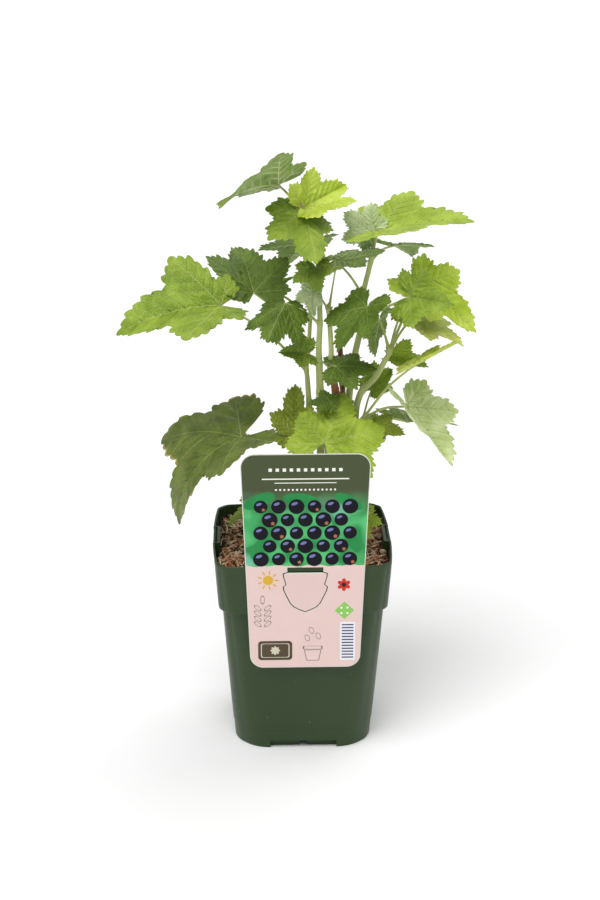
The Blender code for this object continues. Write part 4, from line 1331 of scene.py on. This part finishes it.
def blade_place(leaf, base, phase, forward, sideways):
    """The blade's middle surface in mm, from places in its plane in shares of its length.

    Both halves are turned up by the fold, the midrib is bent in an arc, the blade curls down by
    the square of the distance from the midrib, and its margin ripples round the stalk.
    """
    along, right, up = blade_axes(leaf)
    bend = math.radians(max(leaf.bend, 1))
    fold = math.radians(leaf.fold)
    spread = np.sqrt(sideways**2 + FOLD_SOFTNESS**2) - FOLD_SOFTNESS
    drop = np.sign(forward) * (1 - np.cos(bend * forward)) / bend
    radius = np.hypot(forward, sideways)
    turn = np.arctan2(sideways, forward)
    ripple = RIPPLE * radius**2 * (np.sin(7 * turn + phase) + 0.6 * np.sin(13 * turn + 2 * phase))
    u = np.sin(bend * forward) / bend
    v = sideways * math.cos(fold)
    w = spread * math.sin(fold) - drop - BLADE_CURL * sideways**2 + ripple
    return base + leaf.length * (u[..., None] * along + v[..., None] * right + w[..., None] * up)


def blade_normal(leaf, base, phase, forward, sideways):
    """The unit normal of the middle surface, from two short steps across it."""
    step = 0.008
    across = blade_place(leaf, base, phase, forward, sideways + step)
    across = across - blade_place(leaf, base, phase, forward, sideways - step)
    ahead = blade_place(leaf, base, phase, forward + step, sideways)
    ahead = ahead - blade_place(leaf, base, phase, forward - step, sideways)
    return unit(np.cross(across, ahead))


def blade_veins(leaf):
    """Lines of the veins in the blade's plane, each with its radius at both ends as a share, and
    whether it is a main vein.

    A main vein runs to each lobe's tip. Side veins leave it by turns on both sides, swing
    forward as they go, and stop at the margin or where the next lobe begins.
    """
    veins = []
    swing = np.radians(np.linspace(*SIDE_VEIN_TURN, VEIN_POINTS[1]))
    for angle in MAIN_VEINS:
        turn = math.radians(angle)
        reach = float(blade_reach(leaf, np.array([angle], float))[0])
        ahead = np.array([math.cos(turn), math.sin(turn)])
        way = np.linspace(0.01, 0.97 * reach, VEIN_POINTS[0])
        veins.append((way[:, None] * ahead, MAIN_VEIN_SIZES[abs(angle)], VEIN_ENDS[0], True))
        low, high = VEIN_LIMITS[abs(angle)]
        if angle < 0:
            low, high = -high, -low
        step = SIDE_VEIN_STEP * reach
        for side in (-1, 1):
            headings = turn + side * swing
            walk = np.cumsum(np.column_stack([np.cos(headings), np.sin(headings)]) * step, axis=0)
            for place in np.linspace(0.16, 0.84, SIDE_VEINS[abs(angle)]) * reach:
                origin = ahead * (place + side * SIDE_VEIN_STAGGER * reach)
                line = np.vstack([origin, origin + walk])
                polar = np.degrees(np.arctan2(line[:, 1], line[:, 0]))
                inside = (polar >= low - 2) & (polar <= high + 2)
                inside &= np.hypot(*line.T) < 0.95 * blade_reach(leaf, polar)
                length = len(inside) if inside.all() else int(np.argmin(inside))
                if length >= 3:
                    size = np.interp(place / reach, (0, 1), SIDE_VEIN_SIZES)
                    veins.append((line[:length], size, VEIN_ENDS[1], False))
    return veins


def vein_distance(veins, forward, sideways):
    """Distance from each place to the nearest point of any vein, in shares of the length."""
    dense = []
    for line, *_ in veins:
        steps = np.linspace(0, len(line) - 1, 3 * len(line))
        dense.append(
            np.column_stack([np.interp(steps, np.arange(len(line)), line[:, k]) for k in (0, 1)])
        )
    dense = np.vstack(dense)
    flat = np.column_stack([forward.ravel(), sideways.ravel()])
    squares = (flat**2).sum(axis=1)[:, None] + (dense**2).sum(axis=1)[None] - 2 * flat @ dense.T
    return np.sqrt(np.maximum(squares.min(axis=1), 0)).reshape(forward.shape)


def blade_part(leaf, base, phase, veins, top_slot, under_slot, edge_slot):
    """A closed thin blade: rows run out from the stalk to the margin, columns follow its teeth.

    Its upper and under sides are the middle surface moved along its normal by half the sheet,
    plus a bulge. The bulge is one less a bell curve of the distance from the nearest vein, with
    the fourth power in it, so that the valley's floor is flat and wider than the rows are apart.
    The edge's own colour lies in patches along the margin.
    """
    margin, teeth = blade_margin(leaf)
    share = np.linspace(HUB_SHARE, 1, BLADE_ROWS[leaf.length > SMALL_BLADE]) ** ROW_POWER
    toothed = np.clip((share - TOOTHED_FROM) / (1 - TOOTHED_FROM), 0, 1)
    plane = margin[None] * share[:, None, None] + teeth[None] * toothed[:, None, None]
    forward, sideways = plane[..., 0], plane[..., 1]
    middle = blade_place(leaf, base, phase, forward, sideways)
    normal = blade_normal(leaf, base, phase, forward, sideways)
    valley = np.exp(-((vein_distance(veins, forward, sideways) / VEIN_VALLEY) ** 4))
    fade = 1 - MARGIN_FADE * share[:, None] ** 4
    height = BULGE * (leaf.length / USUAL_LENGTH) ** BULGE_POWER
    lift = height * (1 - valley) * fade
    upper = middle + normal * (BLADE_SHEET / 2 + lift)[..., None]
    under = middle + normal * (lift - BLADE_SHEET / 2)[..., None]
    rows, columns = forward.shape
    points = np.concatenate([upper, under[:, ::-1]], axis=1).reshape(-1, 3)
    loop = 2 * columns
    faces = grid_faces(rows, loop)
    position = np.tile(np.arange(loop), rows - 1)
    row = np.repeat(np.arange(rows - 1), loop)
    slots = np.where(position < columns - 1, top_slot, under_slot)
    turning = (row >= rows - 2) & (np.sin(0.15 * position + phase) > 0.4)
    slots = np.where((position < columns - 1) & turning, edge_slot, slots)
    first = np.arange(columns - 1)
    outer = (rows - 1) * loop
    rim = np.column_stack(
        [outer + loop - 1 - first, outer + first, outer + first + 1, outer + loop - 2 - first]
    )
    hub = np.column_stack([first, loop - 1 - first, loop - 2 - first, first + 1])
    faces = np.vstack([faces, rim, hub])
    slots = np.concatenate([slots, np.full(len(rim), top_slot), np.full(len(hub), under_slot)])
    return points, faces.tolist(), slots


def vein_parts(leaf, base, phase, veins, main_slot, shaded_vein_slot):
    """The veins as thin closed tubes let into the blade, a hair above its upper face and standing
    out below it. A vein is greener above than the pale rib it makes beneath, and a side vein's
    upper face is darker than the blade: painted shade along its sunken line."""
    parts = []
    scale = math.sqrt(leaf.length / USUAL_LENGTH)
    for line, thick, thin, main in veins:
        forward, sideways = line[:, 0], line[:, 1]
        middle = blade_place(leaf, base, phase, forward, sideways)
        normal = blade_normal(leaf, base, phase, forward, sideways)
        radii = VEIN_RADIUS * scale * np.linspace(thick, thin, len(line))
        shown = BLADE_SHEET / 2 + VEIN_SHOWN * radii
        path = middle + normal * (shown - radii)[:, None]
        sides = 6 if main else 4
        points, faces = tube(path, np.repeat(radii[:, None], sides, axis=1))
        around = np.array(faces[: (len(path) - 1) * sides])
        row = around.min(axis=1) // sides
        offset = points[around].mean(axis=1) - path[row]
        upper = np.einsum("ij,ij->i", offset, normal[row]) > RIB_FACING * radii[row]
        slots = np.where(upper, main_slot if main else shaded_vein_slot, 0)
        slots = np.append(slots, np.zeros(len(faces) - len(around), int))
        parts.append((points, faces, slots))
    return parts


def leaf_skin(name, low, high, roughness=0.38, sheen=0.0):
    """The skin of a living leaf: a soft waxy green, mottled over a centimetre or two and finer,
    with light spread in its thin flesh. The net of finest veins is a shallow relief, drawn at
    over twice its true cell so that it shows. The underside has a bloom of fine pale hairs."""
    made, tree, place = new_material(name)
    mottle = add(tree, "TexNoise", {"Vector": place, "Scale": PER_MM / 15, "Detail": 5.0})
    even = add(tree, "MapRange", {"Value": mottle, "From Min": 0.37, "From Max": 0.63})
    tone = add(tree, "Mix", {BY: even, FROM: linear(low), TO: linear(high)}, data_type="RGBA")
    net = add(tree, "TexVoronoi", {"Vector": place, "Scale": PER_MM / 2.3}, feature="DISTANCE_TO_EDGE")
    cell = add(tree, "MapRange", {"Value": net, "From Max": 0.25})
    bump = add(tree, "Bump", {"Height": cell, "Strength": 0.75, "Distance": 0.35 * MM})
    inputs = {
        "Base Color": tone,
        "Roughness": roughness,
        "IOR": 1.42,
        "Specular IOR Level": 0.38,
        "Sheen Weight": sheen,
        "Subsurface Weight": 0.35,
        "Subsurface Radius": (0.6, 1.0, 0.25),
        "Subsurface Scale": 0.9 * MM,
        "Normal": bump,
    }
    shader = add(tree, "BsdfPrincipled", inputs)
    add(tree, "OutputMaterial", {"Surface": shader})
    return made


# A tint's two greens, and by number the finishes of its main and side veins on the upper face.
# The side vein finishes are darker than the blades: painted shade in the sunken vein lines.
DARK_VEINS, GREEN_VEINS, PALE_VEINS = (2, 3), (1, 4), (1, 5)
TINTS = {
    "lime": ("#b3c63c", "#ccdc5e", PALE_VEINS),
    "bright": ("#8fa52f", "#abbf45", GREEN_VEINS),
    "fresh": ("#7b9329", "#98ae3e", GREEN_VEINS),
    "mid": ("#647b1d", "#809633", DARK_VEINS),
    "deep": ("#50671b", "#677f2a", DARK_VEINS),
    # The yellow tint is the leaves' own yellow green, made lighter as painted light shining through
    # leaves in shade.
    "yellow": ("#b9c24e", "#d0d668", PALE_VEINS),
    "olive": ("#7c8928", "#96a03a", DARK_VEINS),
    "aged": ("#546220", "#6e7c30", DARK_VEINS),
    # A green made pale with painted sheen: lighter to stand in for a sheen of light on the leaf.
    "silver": ("#bccb86", "#d8e3ae", PALE_VEINS),
    "pale": ("#adbf86", "#cad7a9", PALE_VEINS),
}
# Tints whose leaves get the sunlit underside: a lighter copy of the hairy underside, painted light
# shining through the leaf.
LIT_UNDERSIDE_TINTS = ("yellow", "silver", "pale")
leaf_finishes = [leaf_skin(tint + "_leaf_skin", *facts[:2]) for tint, facts in TINTS.items()]
tint_slots = {tint: slot for slot, tint in enumerate(TINTS)}
UNDER_SLOT, LIT_UNDER_SLOT, AGED_EDGE_SLOT = range(len(TINTS), len(TINTS) + 3)
leaf_finishes += [
    leaf_skin("hairy_leaf_underside", "#7b9446", "#94aa5f", 0.7, 0.2),
    # The sunlit underside is painted light: the hairy underside made lighter, for light shining through
    # the leaf.
    leaf_skin("sunlit_leaf_underside", "#b3bf70", "#cad290", 0.65, 0.3),
    leaf_skin("yellowing_leaf_edge", "#8f8540", "#aa9a55"),
]
vein_finishes = [
    leaf_skin("pale_rib_skin", "#c3ce8c", "#dbe3b2", 0.45),
    leaf_skin("light_main_vein_skin", "#a3b35e", "#b9c67a", 0.45),
    leaf_skin("dull_main_vein_skin", "#83954a", "#99aa60", 0.45),
    # Side veins on the upper face, darker than the blades: painted shade along their sunken lines.
    leaf_skin("painted_shade_dark_vein_skin", "#42560f", "#526a1c", 0.5),
    leaf_skin("painted_shade_green_vein_skin", "#5d7720", "#6d872b", 0.5),
    leaf_skin("painted_shade_pale_vein_skin", "#8a9c44", "#9aab55", 0.5),
]
for name, (leaves, bases) in grown.items():
    blades, ribs = [], []
    for index, (leaf, base) in enumerate(zip(leaves, bases)):
        phase = 1.7 * index + 0.4 * len(leaves)
        veins = blade_veins(leaf)
        slot = tint_slots[leaf.tint]
        edge = AGED_EDGE_SLOT if leaf.tint == "aged" else slot
        under = LIT_UNDER_SLOT if leaf.tint in LIT_UNDERSIDE_TINTS else UNDER_SLOT
        blades.append(blade_part(leaf, base, phase, veins, slot, under, edge))
        ribs += vein_parts(leaf, base, phase, veins, *TINTS[leaf.tint][2])
    blade_mass = joined(name.replace("leaves", "blades"), blades, leaf_finishes)
    vein_mass = joined(name.replace("leaves", "veins"), ribs, vein_finishes)
    for piece in (blade_mass, vein_mass):
        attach(piece, "root")
        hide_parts(name)

# The set is a plain pale sweep of matt paper under soft studio lamps, with the camera where the
# photograph was taken from: in front, a little to the left, and looking down.
CAMERA_PLACE = (-0.038, -1.303, 0.669)
CAMERA_TURN = (71.0, 0.0, -1.62)
CAMERA_LENS = 74.1
FLOOR_HALF = 60000.0


def matt_paper():
    """Matt background paper: near white, and faintly mottled over a few centimetres."""
    made, tree, place = new_material("matt_paper")
    cloud = add(tree, "TexNoise", {"Vector": place, "Scale": PER_MM / 60, "Detail": 2.0})
    low, high = linear("#f1f1f1"), linear("#f4f4f4")
    tone = add(tree, "Mix", {BY: cloud, FROM: low, TO: high}, data_type="RGBA")
    shader = add(tree, "BsdfPrincipled", {"Base Color": tone, "Roughness": 0.9})
    add(tree, "OutputMaterial", {"Surface": shader})
    return made


def soft_sun(name, place, strength, spread):
    """Light from a wide far-off panel, which lies that way from the plant and looks so wide."""
    data = bpy.data.lights.new(name, "SUN")
    data.energy = strength
    data.angle = math.radians(spread)
    lamp = new_object(name, data)
    flat = math.hypot(place[0], place[1])
    turn = math.atan2(place[1], place[0]) + math.pi / 2
    lamp.rotation_euler = (math.atan2(flat, place[2]), 0, turn)
    lamp.location = place


floor_corners = np.array([(-1, -1, 0), (1, -1, 0), (1, 1, 0), (-1, 1, 0)]) * FLOOR_HALF
floor = new_mesh("floor", floor_corners, [(0, 1, 2, 3)], [matt_paper()])
soft_sun("key_panel", (-0.45, -0.75, 1.5), 2.05, 42)
soft_sun("back_panel", (0.7, 0.9, 1.3), 0.9, 60)

world = bpy.data.worlds.new("studio")
world.use_nodes = True
sky = world.node_tree.nodes["Background"]
sky.inputs["Color"].default_value = (1, 1, 1, 1)
sky.inputs["Strength"].default_value = 0.5
bpy.context.scene.world = world
bpy.context.scene.view_settings.view_transform = "Standard"

camera_data = bpy.data.cameras.new("camera")
camera_data.lens = CAMERA_LENS
camera = new_object("camera", camera_data)
camera.location = CAMERA_PLACE
camera.rotation_euler = [math.radians(angle) for angle in CAMERA_TURN]
bpy.context.scene.camera = camera
